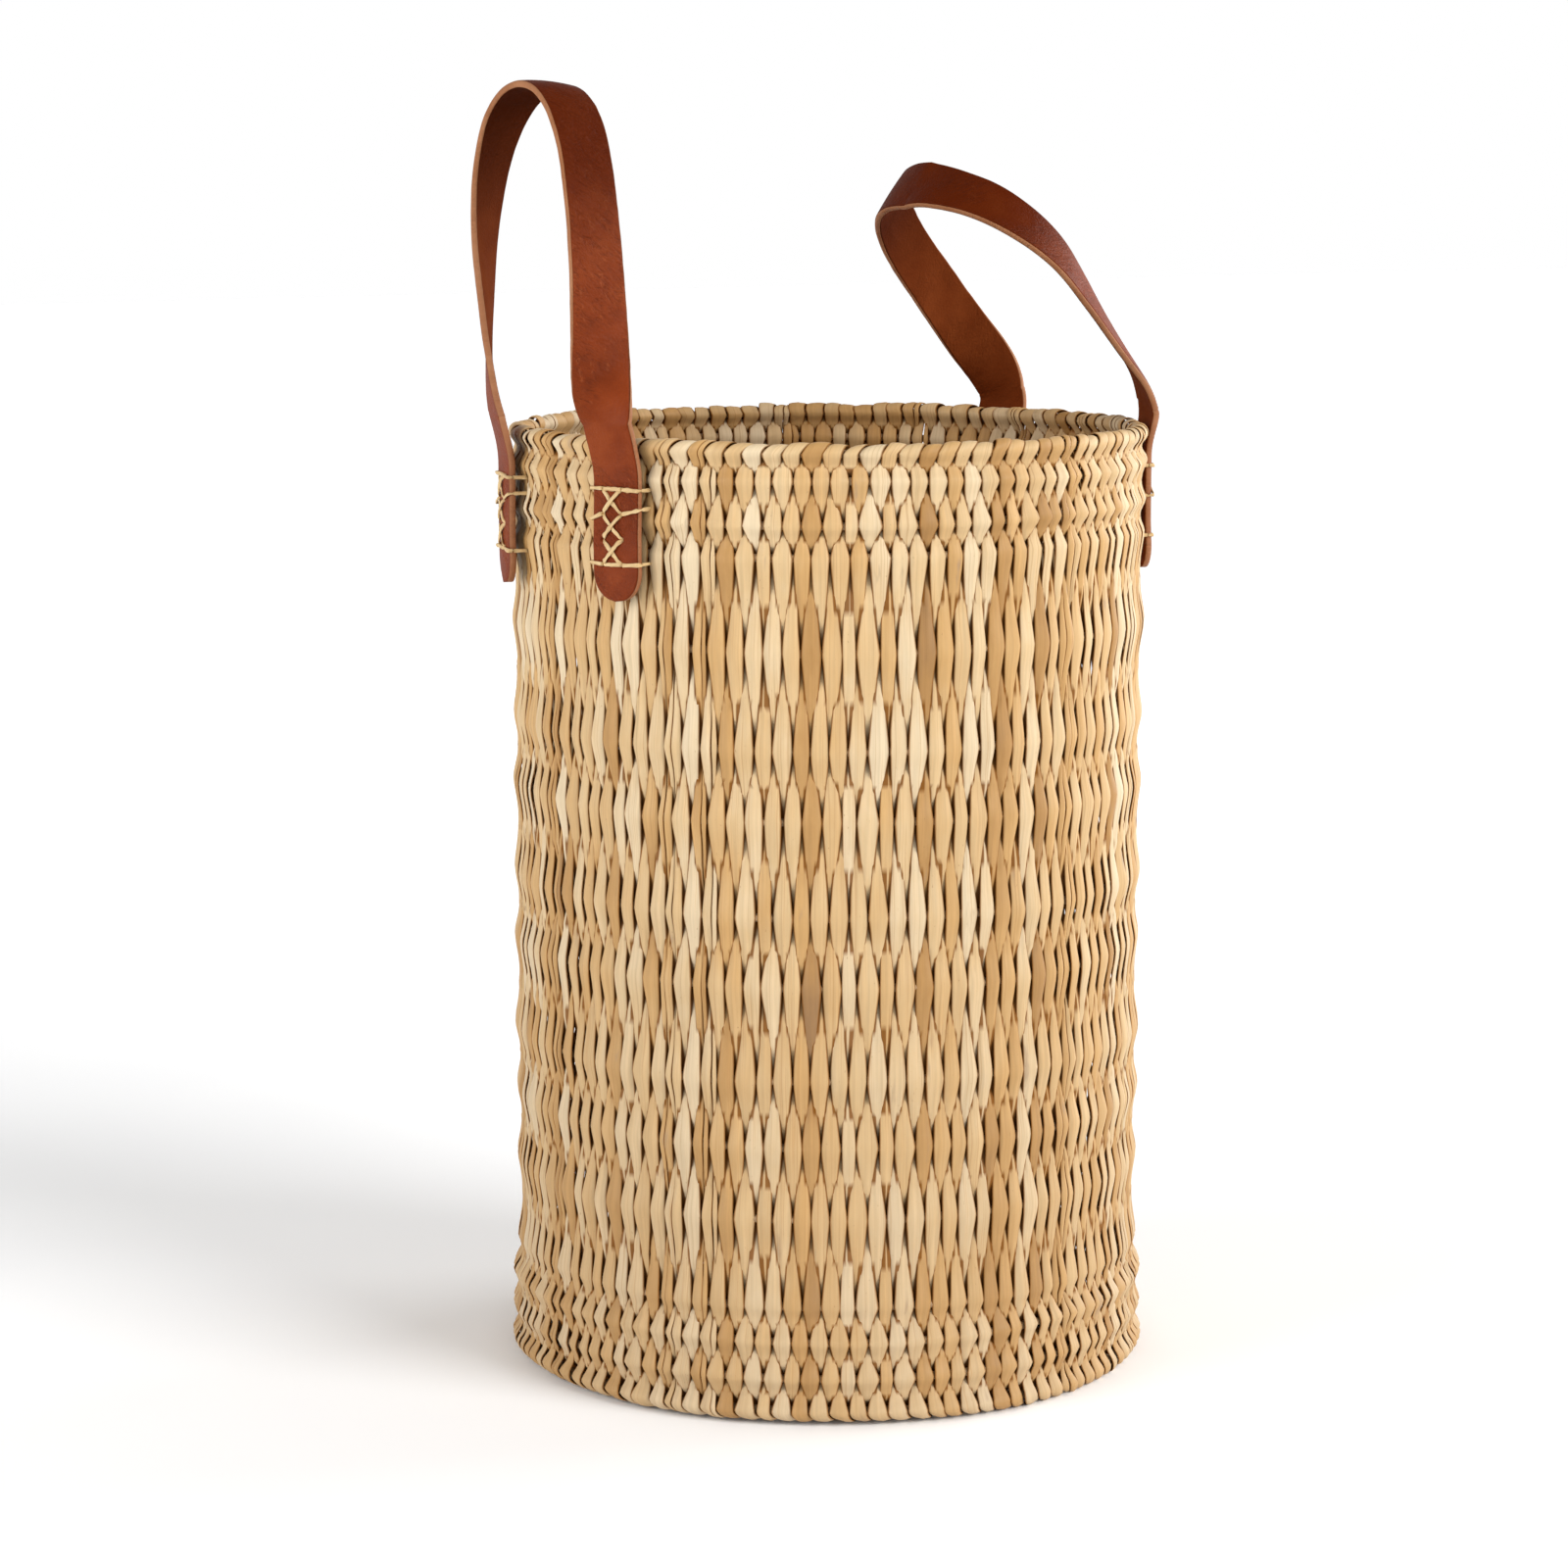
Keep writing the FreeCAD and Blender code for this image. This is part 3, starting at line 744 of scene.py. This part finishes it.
def hole_dimples(name, distance, width):
    """Depth of the punched stitch holes below the strap's face, at every point of its outline."""
    tab_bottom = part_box(name + "_front_tab")[0].z
    total = distance[-1]
    depth = np.zeros_like(width)
    for row in range(STITCH_ROWS):
        up = STITCH_TOP - row * STITCH_PITCH - tab_bottom
        for column in HOLE_COLUMNS:
            for along, across in ((up, column), (total - up, -column)):
                reach = np.hypot(distance[:, None] - along, width - across)
                depth = np.maximum(depth, HOLE_DEPTH * ease((HOLE_RADIUS - reach) / HOLE_LIP))
    return depth


def thread(rng, skin, frame_of_tab, path, number):
    """One raffia stitch: a flat fibrous strip along points given as across, height and lift."""
    across, outward = frame_of_tab
    points = np.array(path)
    spots = np.linspace(0, 1, len(points))
    fine = np.linspace(0, 1, THREAD_STATIONS)
    smooth = resample(fine, spots, points)
    for _ in range(3):
        smooth[1:-1] = (smooth[:-2] + 2 * smooth[1:-1] + smooth[2:]) / 4
    up = np.array([0.0, 0.0, 1.0])
    surface = TAB_RADIUS + STRAP_THICKNESS / 2
    centre = across * smooth[:, :1] + up * smooth[:, 1:2] + outward * (surface + smooth[:, 2:])
    forward = unit(np.gradient(centre, axis=0))
    sideways = unit(np.cross(forward, outward + 0 * forward))
    normal = np.cross(sideways, forward)
    along = np.concatenate([[0], np.cumsum(np.linalg.norm(np.diff(centre, axis=0), axis=1))])
    turn = np.linspace(0, FULL_TURN, THREAD_SIDES, endpoint=False)
    twist = wander(rng, along, *THREAD_TWIST)[:, None]
    half_width = (THREAD_WIDTH / 2 * (1 + wander(rng, along, *THREAD_UNEVENNESS)))[:, None]
    half_thick = THREAD_THICKNESS / 2
    ridge = 1 + THREAD_RIDGE * np.cos(5 * turn + rng.uniform(0, FULL_TURN))
    x = np.cos(turn) * half_width * ridge
    y = np.sin(turn) * half_thick * ridge
    flat_x = x * np.cos(twist) - y * np.sin(twist)
    flat_y = x * np.sin(twist) + y * np.cos(twist)
    rings = centre[:, None, :] + sideways[:, None, :] * flat_x[:, :, None]
    rings = rings + normal[:, None, :] * flat_y[:, :, None]
    blank = np.zeros_like(flat_x)
    place = np.stack([x, along[:, None] + blank, number + blank], axis=-1)
    skin.tube(rings, thread_place=place)


def make_stitches(rng, name, sign, material):
    """All the raffia stitches of one tab: crosses, level stitches and stitches over the edges."""
    end = "front" if (sign > 0) == (name == "left") else "back"
    handle = HANDLES[name]
    angle = math.radians(handle["side"] + sign * handle["spread"])
    outward = np.array([math.cos(angle), math.sin(angle), 0.0])
    across = np.cross([0.0, 0.0, 1.0], outward)
    tab = (across, outward)
    skin = Skin("thread_place")
    left, right = HOLE_COLUMNS
    number = 0
    for row in range(STITCH_ROWS):
        height = STITCH_TOP - row * STITCH_PITCH
        runs = []
        if row in LEVEL_STITCH_ROWS:
            runs.append(((left, height), (right, height), 0.0))
        if row < STITCH_ROWS - 1:
            runs.append(((left, height), (right, height - STITCH_PITCH), 0.15 * MM))
            runs.append(((right, height), (left, height - STITCH_PITCH), 0.85 * MM))
        for start, stop, extra in runs:
            path = [(*start, THREAD_START)]
            for share in np.linspace(0.10, 0.90, 9):
                bulge = THREAD_LIFT + extra * math.sin(math.pi * share)
                jitter = rng.normal(0.0, 0.10 * MM, 2)
                x = start[0] + (stop[0] - start[0]) * share + jitter[0]
                y = start[1] + (stop[1] - start[1]) * share + jitter[1]
                path.append((x, y, bulge))
            path.append((*stop, THREAD_START))
            thread(rng, skin, tab, path, number)
            number += 1
        if row in SIDE_STITCH_ROWS:
            for column in HOLE_COLUMNS:
                side = 1 if column > 0 else -1
                edge = side * (STRAP_WIDTH / 2 + 0.4 * MM)
                slope = rng.uniform(-0.8, 0.8) * MM + (side * SIDE_STITCH_SLANT if row == 1 else 0.0)
                path = [(column, height, THREAD_START)]
                for share in np.linspace(0.08, 1.0, 9):
                    path.append((column + (edge - column) * share, height + slope * share, THREAD_LIFT))
                foot = height + slope * 1.1
                path.append((edge + side * 0.1 * MM, foot, -0.8 * MM))
                path.append((edge + side * 0.1 * MM, foot, -3.0 * MM))
                path.append((edge, foot, -5.5 * MM))
                path.append((edge - side * 0.5 * MM, foot, -9.0 * MM))
                thread(rng, skin, tab, path, number)
                number += 1
    stitches = skin.build("raffia_%s_%s" % (name, end))
    stitches.data.materials.append(material)
    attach(stitches, "basket")
    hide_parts("%s_%s_stitches" % (name, end))


def make_strap(rng, name, material):
    """One leather strap: two round ends sewn to the wall and the grip loop between them."""
    points, widths, faces, distance = strap_line(name)
    half_thick = STRAP_THICKNESS / 2
    flat = np.linspace(-1, 1, FLAT_POINTS)
    bevel = np.linspace(0, math.pi, EDGE_POINTS + 2)[1:-1]
    inset = half_thick * 0.55
    ones = np.ones(FLAT_POINTS)
    edge_ones = np.ones(EDGE_POINTS)
    edge_v = np.cos(bevel)
    edge_out = inset * np.sin(bevel)
    outline_u = np.concatenate([flat, edge_ones, flat[::-1], -edge_ones])
    outline_v = np.concatenate([ones, edge_v, -ones, -edge_v[::-1]])
    outline_out = np.concatenate([0 * ones, edge_out, 0 * ones, -edge_out[::-1]])
    face_mark = np.concatenate([ones, 0 * edge_ones, -ones, 0 * edge_ones])
    total = distance[-1]
    from_end = np.minimum(distance, total - distance)
    round_reach = STRAP_WIDTH / 2
    roundness = np.sqrt(np.clip(1 - np.clip(1 - from_end / round_reach, 0, 1) ** 2, 0.0004, 1))
    half_width = (STRAP_WIDTH / 2 - inset) * roundness
    left_wave = wander(rng, distance, *CUT_WAVE) + wander(rng, distance, *CUT_NICKS)
    right_wave = wander(rng, distance, *CUT_WAVE) + wander(rng, distance, *CUT_NICKS)
    half_left = (half_width + left_wave * roundness)[:, None]
    half_right = (half_width + right_wave * roundness)[:, None]
    u = outline_u
    edge_share = np.minimum(roundness * 2, 1)[:, None]
    width = np.where(u < 0, half_left, half_right) * u + outline_out * edge_share
    cup = STRAP_CUP * (1 - u * u)
    buckle = wander(rng, distance, *STRAP_BUCKLE)[:, None] * u * u
    depth = outline_v * half_thick + cup + buckle
    depth = depth - hole_dimples(name, distance, width) * (face_mark > 0.5)
    rings = points[:, None, :] + widths[:, None, :] * width[:, :, None]
    rings = rings + faces[:, None, :] * depth[:, :, None]
    blank = np.zeros_like(width)
    place = np.stack([width, distance[:, None] + blank, face_mark + blank], axis=-1)
    # painted shade over the top of the loop, fading towards the tabs
    grip = ease((GRIP_REACH - np.abs(distance - total / 2)) / GRIP_FADE)
    wear_and_grip_shade = np.stack([grip[:, None] + blank] * 3, axis=-1)
    skin = Skin("strap_place", "strap_grip")
    skin.tube(rings, strap_place=place, strap_grip=wear_and_grip_shade)
    strap = skin.build(name + "_strap")
    strap.data.materials.append(material)
    return strap


# ---------------------------------------------------------------- materials

def feed(tree, item, **sockets):
    """Set a node's inputs to values, or link outputs to them; i3 is input number 3."""
    for key, value in sockets.items():
        name = key.replace("_", " ")
        socket = item.inputs[int(key[1:])] if key[1:].isdigit() else item.inputs[name]
        if isinstance(value, bpy.types.NodeSocket):
            tree.links.new(value, socket)
        else:
            socket.default_value = value


def add(tree, kind, settings=None, **sockets):
    """Add a shader node. Settings are its properties, and sockets are fed to its inputs."""
    item = tree.nodes.new(kind)
    for key, value in (settings or {}).items():
        setattr(item, key, value)
    feed(tree, item, **sockets)
    return item


def maths(tree, operation, first, second=0.0, clamp=False):
    """Output of a math node."""
    item = add(tree, "ShaderNodeMath", {"operation": operation, "use_clamp": clamp}, i0=first, i1=second)
    return item.outputs[0]


def plus(tree, first, second):
    """The sum of two values."""
    return maths(tree, "ADD", first, second)


def minus(tree, first, second):
    """The difference of two values."""
    return maths(tree, "SUBTRACT", first, second)


def times(tree, first, second):
    """The product of two values."""
    return maths(tree, "MULTIPLY", first, second)


def weighted(tree, first, first_weight, second, second_weight):
    """The sum of two values, each times its own weight."""
    return plus(tree, times(tree, first, first_weight), times(tree, second, second_weight))


def rise(tree, value, low, high, bottom=0.0, top=1.0):
    """Smooth step from bottom to top, as a value goes from low to high."""
    item = add(tree, "ShaderNodeMapRange", {"interpolation_type": "SMOOTHSTEP"},
               Value=value, From_Min=low, From_Max=high, To_Min=bottom, To_Max=top)
    return item.outputs[0]


def blend_colours(tree, factor, first, second, kind="MIX"):
    """Output of a colour mix."""
    settings = {"data_type": "RGBA", "blend_type": kind}
    item = add(tree, "ShaderNodeMix", settings, i0=factor, i6=first, i7=second)
    return item.outputs[2]


def tint(tree, base, where, strength, colour):
    """A base colour that goes towards another colour, where a value is 1, by a strength."""
    return blend_colours(tree, times(tree, where, strength), base, colour)


def ramp(tree, factor, stops):
    """Output of a colour ramp: stops are (place, colour)."""
    item = add(tree, "ShaderNodeValToRGB", None, Fac=factor)
    elements = item.color_ramp.elements
    while len(elements) < len(stops):
        elements.new(0.5)
    for element, (place, colour) in zip(elements, stops):
        element.position = place
        element.color = colour
    return item.outputs[0]


def split(tree, vector):
    """The three parts of a vector."""
    return list(add(tree, "ShaderNodeSeparateXYZ", None, Vector=vector).outputs)


def attribute_parts(tree, name):
    """The three parts of a mesh attribute."""
    return split(tree, add(tree, "ShaderNodeAttribute", {"attribute_name": name}).outputs["Vector"])


def object_place(tree):
    """Coordinates in the object's own frame."""
    return add(tree, "ShaderNodeTexCoord").outputs["Object"]


def stretched(tree, parts, scales):
    """Coordinates made of three parts, each times its own scale."""
    scaled = [times(tree, part, scale) for part, scale in zip(parts, scales)]
    return add(tree, "ShaderNodeCombineXYZ", None, X=scaled[0], Y=scaled[1], Z=scaled[2]).outputs[0]


def noise(tree, vector, scale, detail=3.0, roughness=0.5, distortion=0.0):
    """Output of a noise texture."""
    item = add(tree, "ShaderNodeTexNoise", None, Vector=vector, Scale=scale, Detail=detail,
               Roughness=roughness, Distortion=distortion)
    return item.outputs[0]


def streaks(tree, parts, scales, detail=3.0, roughness=0.6, distortion=0.0):
    """Noise over three coordinates, each times its own scale."""
    return noise(tree, stretched(tree, parts, scales), 1.0, detail, roughness, distortion)


def new_material(name):
    """A material with nothing but its output and one Principled shader."""
    material = bpy.data.materials.new(name)
    material.use_nodes = True
    tree = material.node_tree
    tree.nodes.clear()
    output = add(tree, "ShaderNodeOutputMaterial")
    shader = add(tree, "ShaderNodeBsdfPrincipled")
    tree.links.new(shader.outputs[0], output.inputs[0])
    return material, tree, shader


def emboss(tree, shader, height, strength, distance):
    """Give a shader a bump."""
    bump = add(tree, "ShaderNodeBump", None, Strength=strength, Distance=distance, Height=height)
    feed(tree, shader, Normal=bump.outputs[0])


def leaf_material():
    """Dry palm leaf: a tone for each leaf, lengthwise fibres, brown edges that are partly painted shade,
    painted shade in crevices, deep in the weave and towards the bottom, and small specks.
    """
    material, tree, shader = new_material("palm_leaf")
    place = attribute_parts(tree, "leaf_place")
    tone, edge, shadow = attribute_parts(tree, "leaf_look")
    from_bound, reach, hidden = attribute_parts(tree, "leaf_cover")
    fibre = streaks(tree, place, (2600, 90, 3.7))
    streak = streaks(tree, place, (700, 18, 9.1), 2.0, 0.5)
    mottle = streaks(tree, place, (160, 55, 5.3), 3.0, 0.55)
    base = ramp(tree, plus(tree, tone, times(tree, minus(tree, mottle, 0.5), 0.26)), [
        (0.0, (0.670, 0.535, 0.350, 1)),
        (0.25, (0.605, 0.425, 0.223, 1)),
        (0.55, (0.535, 0.318, 0.124, 1)),
        (0.80, (0.390, 0.208, 0.068, 1)),
        (1.0, (0.265, 0.145, 0.062, 1)),
    ])
    weathered = rise(tree, streaks(tree, place, (120, 26, 11.3)), 0.66, 0.76)
    base = tint(tree, base, weathered, 0.55, (0.300, 0.205, 0.140, 1))
    # painted shade: the leaves darken towards the bottom of the basket
    level = split(tree, object_place(tree))[2]
    lower = minus(tree, 1.0, rise(tree, level, -0.05, 0.42))
    base = tint(tree, base, lower, 0.40, (0.300, 0.175, 0.075, 1))
    shade = plus(tree, 0.80, times(tree, streak, 0.40))
    grey = add(tree, "ShaderNodeCombineColor", None, i0=shade, i1=shade, i2=shade).outputs[0]
    base = blend_colours(tree, 1.0, base, grey, "MULTIPLY")
    vein = rise(tree, streaks(tree, place, (1500, 9, 6.7), 1.0, 0.5), 0.60, 0.70)
    base = tint(tree, base, vein, 0.38, (0.380, 0.200, 0.075, 1))
    # brown leaf edges: partly the leaf's own colour, partly painted shade between neighbouring leaves
    rim_shade = times(tree, rise(tree, edge, 0.78, 0.97), 0.88)
    base = blend_colours(tree, rim_shade, base, (0.215, 0.082, 0.014, 1))
    # painted shade in the crevices where the leaves beside a leaf cover it
    beyond = minus(tree, maths(tree, "ABSOLUTE", from_bound), reach)
    crevice_shade = times(tree, times(tree, rise(tree, beyond, -0.5 * MM, 0.2 * MM), hidden), 0.88)
    base = blend_colours(tree, crevice_shade, base, (0.175, 0.058, 0.007, 1))
    speck = rise(tree, streaks(tree, place, (900, 420, 2.9), 2.0), 0.70, 0.78)
    base = tint(tree, base, speck, 0.5, (0.25, 0.13, 0.05, 1))
    base = tint(tree, base, shadow, 0.92, (0.180, 0.058, 0.006, 1))
    lost = maths(tree, "MAXIMUM", shadow, maths(tree, "MAXIMUM", crevice_shade, rim_shade))
    shine = maths(tree, "SUBTRACT", 0.24, times(tree, lost, 0.23), True)
    feed(tree, shader, Base_Color=base, Roughness=0.52, Specular_IOR_Level=shine)
    emboss(tree, shader, weighted(tree, fibre, 0.6, streak, 0.8), 0.35, 0.25 * MM)
    return material


def reed_material():
    """Bent reed: brown wood with a fine grain."""
    material, tree, shader = new_material("reed")
    place = object_place(tree)
    grain = noise(tree, place, 900, 3.0, 0.6)
    patch = noise(tree, place, 60, 2.0, 0.5)
    base = ramp(tree, weighted(tree, grain, 0.5, patch, 0.5), [
        (0.25, (0.20, 0.11, 0.05, 1)),
        (0.75, (0.42, 0.27, 0.13, 1)),
    ])
    feed(tree, shader, Base_Color=base, Roughness=0.6)
    emboss(tree, shader, grain, 0.3, 0.2 * MM)
    return material


def leather_material():
    """Waxed red-brown leather: smooth wrinkled grain face, paler cut edges, a darker flesh side, and painted
    shade in its creases and over the top of the loop.
    """
    material, tree, shader = new_material("leather")
    across, along, face = attribute_parts(tree, "strap_place")
    flat = stretched(tree, (across, along, face), (1.0, 1.0, 0.01))
    cells = add(tree, "ShaderNodeTexVoronoi", {"feature": "F1"}, Vector=flat, Scale=900.0)
    pores = cells.outputs["Distance"]
    slanting = (across, plus(tree, along, times(tree, across, 0.6)), face)
    wrinkle = streaks(tree, slanting, (170, 330, 1.0), 4.0, 0.62, 1.8)
    where = rise(tree, noise(tree, flat, 34, 2.0, 0.5), 0.38, 0.58)
    scuff = streaks(tree, slanting, (300, 210, 1.0), 4.0, 0.7, 1.2)
    patch = noise(tree, flat, 55, 4.0, 0.6)
    cloud = noise(tree, flat, 18, 3.0, 0.55)
    tone = weighted(tree, patch, 0.5, cloud, 0.5)
    grain_colour = ramp(tree, tone, [
        (0.30, (0.125, 0.018, 0.002, 1)),
        (0.50, (0.185, 0.029, 0.004, 1)),
        (0.72, (0.260, 0.050, 0.009, 1)),
    ])
    # painted shade in the creases of the wrinkles
    crease_shade = times(tree, rise(tree, wrinkle, 0.50, 0.36), where)
    grain_colour = tint(tree, grain_colour, crease_shade, 0.40, (0.060, 0.009, 0.001, 1))
    wear_and_grip_shade = times(tree, rise(tree, scuff, 0.56, 0.70), where)
    grain_colour = tint(tree, grain_colour, wear_and_grip_shade, 0.40, (0.360, 0.095, 0.030, 1))
    # painted shade over the top of the loop, on the grain face and the flesh side
    grip = add(tree, "ShaderNodeAttribute", {"attribute_name": "strap_grip"}).outputs["Fac"]
    grip_shade = rise(tree, grip, 0.0, 1.0)
    grain_colour = tint(tree, grain_colour, grip_shade, 0.75, (0.055, 0.0065, 0.0008, 1))
    flesh_colour = ramp(tree, tone, [
        (0.30, (0.095, 0.015, 0.002, 1)),
        (0.70, (0.165, 0.036, 0.008, 1)),
    ])
    edge_colour = ramp(tree, tone, [
        (0.30, (0.250, 0.090, 0.036, 1)),
        (0.70, (0.400, 0.190, 0.095, 1)),
    ])
    is_flesh = rise(tree, times(tree, face, -1.0), 0.4, 0.8)
    is_edge = minus(tree, 1.0, rise(tree, maths(tree, "ABSOLUTE", face), 0.15, 0.85))
    flesh_colour = tint(tree, flesh_colour, grip_shade, 0.80, (0.050, 0.0075, 0.0010, 1))
    base = blend_colours(tree, is_flesh, grain_colour, flesh_colour)
    base = blend_colours(tree, is_edge, base, edge_colour)
    shine = minus(tree, 0.10, times(tree, maths(tree, "MAXIMUM", grip_shade, is_flesh), 0.075))
    rough = plus(tree, 0.40, times(tree, is_flesh, 0.35))
    rough = plus(tree, rough, times(tree, patch, 0.16))
    feed(tree, shader, Base_Color=base, Roughness=rough, Specular_IOR_Level=shine)
    height = weighted(tree, pores, 0.25, times(tree, wrinkle, where), 1.6)
    emboss(tree, shader, height, 0.7, 1.0 * MM)
    return material


def raffia_material():
    """Raffia thread: pale yellow straw with fibres along it."""
    material, tree, shader = new_material("raffia")
    place = attribute_parts(tree, "thread_place")
    fibre = streaks(tree, place, (4200, 160, 3.1))
    patch = streaks(tree, place, (300, 140, 7.7), 2.0, 0.5)
    base = ramp(tree, weighted(tree, fibre, 0.6, patch, 0.4), [
        (0.25, (0.330, 0.180, 0.060, 1)),
        (0.50, (0.620, 0.420, 0.190, 1)),
        (0.75, (0.760, 0.600, 0.340, 1)),
    ])
    feed(tree, shader, Base_Color=base, Roughness=0.55)
    emboss(tree, shader, fibre, 0.5, 0.3 * MM)
    return material


def base_leaf_material():
    """Palm leaf of the base: each strip has its own tone, with fibres along it."""
    material, tree, shader = new_material("base_leaf")
    place = split(tree, object_place(tree))
    strip = maths(tree, "ROUND", maths(tree, "DIVIDE", place[1], BASE_STRIP_PITCH))
    tone = add(tree, "ShaderNodeTexWhiteNoise", {"noise_dimensions": "1D"}, W=strip).outputs["Value"]
    fibre = streaks(tree, place, (60, 2400, 60))
    mottle = streaks(tree, place, (55, 160, 55), 3.0, 0.55)
    base = ramp(tree, weighted(tree, tone, 0.7, mottle, 0.3), [
        (0.05, (0.600, 0.460, 0.290, 1)),
        (0.45, (0.520, 0.330, 0.150, 1)),
        (0.90, (0.340, 0.190, 0.080, 1)),
    ])
    feed(tree, shader, Base_Color=base, Roughness=0.55)
    emboss(tree, shader, fibre, 0.4, 0.3 * MM)
    return material


def floor_material():
    """Pale studio floor with a very faint mottle, which glows more the further it is from the basket."""
    material, tree, shader = new_material("pale_floor")
    place = object_place(tree)
    mottle = noise(tree, place, 6, 2.0, 0.5)
    base = ramp(tree, mottle, [(0.3, (0.94, 0.94, 0.945, 1)), (0.7, (0.96, 0.96, 0.96, 1))])
    is_seen = add(tree, "ShaderNodeLightPath").outputs["Is Camera Ray"]
    away = add(tree, "ShaderNodeVectorMath", {"operation": "LENGTH"}, i0=place).outputs["Value"]
    glow = rise(tree, away, *FLOOR_GLOW_REACH, *FLOOR_GLOW)
    # the glow fades out round the basket's foot, which paints a shadow there
    glow = times(tree, is_seen, times(tree, glow, rise(tree, away, *UNLIT_REACH)))
    feed(tree, shader, Base_Color=base, Roughness=0.9, Emission_Color=(1, 1, 1, 1), Emission_Strength=glow)
    return material


# ---------------------------------------------------------------- studio

def direction(azimuth, elevation):
    """Unit vector towards an azimuth and elevation; azimuth 0 is -Y, seen from the front."""
    a = math.radians(azimuth)
    e = math.radians(elevation)
    return np.array([math.sin(a) * math.cos(e), -math.cos(a) * math.cos(e), math.sin(e)])


def make_camera():
    """Camera at the photograph's angle."""
    data = bpy.data.cameras.new("camera")
    data.lens = CAMERA_LENS
    data.sensor_width = CAMERA_SENSOR
    data.clip_end = 50.0
    camera = new_object("camera", data)
    azimuth = math.radians(CAMERA_AZIMUTH)
    right = np.array([math.cos(azimuth), math.sin(azimuth), 0.0])
    place = direction(CAMERA_AZIMUTH, 0.0) * CAMERA_DISTANCE + right * CAMERA_SIDE_SHIFT
    camera.location = (place[0], place[1], CAMERA_HEIGHT)
    camera.rotation_euler = (math.radians(90 - CAMERA_PITCH), 0.0, azimuth)
    bpy.context.scene.camera = camera


def place_light(name, data, azimuth, elevation):
    """Put a light in the scene, in a direction from the basket's middle, and turn it to the basket."""
    light = new_object(name, data)
    light.location = direction(azimuth, elevation) * LIGHT_DISTANCE + np.array([0, 0, LIGHT_AIM])
    light.rotation_euler = (math.radians(90 - elevation), 0.0, math.radians(azimuth))


def make_sun(name, azimuth, elevation, angle, strength):
    """Broad even light from one direction."""
    data = bpy.data.lights.new(name, "SUN")
    data.angle = math.radians(angle)
    data.energy = strength
    place_light(name, data, azimuth, elevation)


def make_light(name, azimuth, elevation, power):
    """A square soft light."""
    data = bpy.data.lights.new(name, "AREA")
    data.shape = "SQUARE"
    data.size = LIGHT_SIZE
    data.energy = power
    place_light(name, data, azimuth, elevation)


def make_studio():
    """Pale floor, white surroundings and soft lights."""
    floor_height = cad_bounds[0][2]
    signs = ((-1, -1), (1, -1), (1, 1), (-1, 1))
    corners = [(x * FLOOR_SIZE, y * FLOOR_SIZE, floor_height) for x, y in signs]
    mesh = bpy.data.meshes.new("floor")
    mesh.from_pydata(corners, [], [(0, 1, 2, 3)])
    floor = new_object("floor", mesh)
    floor.data.materials.append(floor_material())
    world = bpy.data.worlds.new("studio")
    world.use_nodes = True
    tree = world.node_tree
    tree.nodes.clear()
    height = split(tree, add(tree, "ShaderNodeTexCoord").outputs["Generated"])[2]
    strength = rise(tree, height, 0.0, 1.0, HORIZON_LIGHT, ZENITH_LIGHT)
    sky = add(tree, "ShaderNodeBackground", None, Color=(1, 1, 1, 1), Strength=strength)
    seen = add(tree, "ShaderNodeBackground", None, Color=(1, 1, 1, 1), Strength=1.0)
    is_seen = add(tree, "ShaderNodeLightPath").outputs["Is Camera Ray"]
    both = add(tree, "ShaderNodeMixShader", None, i0=is_seen, i1=sky.outputs[0], i2=seen.outputs[0])
    tree.links.new(both.outputs[0], add(tree, "ShaderNodeOutputWorld").inputs[0])
    bpy.context.scene.world = world
    make_sun("key", KEY_AZIMUTH, KEY_ELEVATION, KEY_ANGLE, KEY_STRENGTH)
    make_light("fill", FILL_AZIMUTH, FILL_ELEVATION, FILL_POWER)
    make_light("side", SIDE_AZIMUTH, SIDE_ELEVATION, SIDE_POWER)
    bpy.context.scene.view_settings.view_transform = "Standard"


# ---------------------------------------------------------------- making

rng = np.random.default_rng(SEED)
make_camera()
make_studio()
leaf = leaf_material()
reed = reed_material()
leather = leather_material()
raffia = raffia_material()
base_leaf = base_leaf_material()
waves = hoop_waves(rng)
make_wall(rng, waves, leaf)
make_hoops(rng, waves, reed)
for side_name in ("left", "right"):
    strap = make_strap(rng, side_name, leather)
    hinge = hinge_height(side_name)
    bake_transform(strap, "basket", side_name + "_handle",
             start=(0, 0, hinge - BEND_BELOW), end=(0, 0, hinge + BEND_ABOVE))
    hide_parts(side_name + "_handle_loop", side_name + "_front_tab", side_name + "_back_tab")
    for sign in (-1, 1):
        make_stitches(rng, side_name, sign, raffia)
for node in ("base_rods", "base_edge_hoop", "base_strands", "base_lacing"):
    obj = frame["nodes"][node]
    is_reed = node in ("base_rods", "base_edge_hoop")
    obj.data.materials.clear()
    obj.data.materials.append(reed if is_reed else base_leaf)
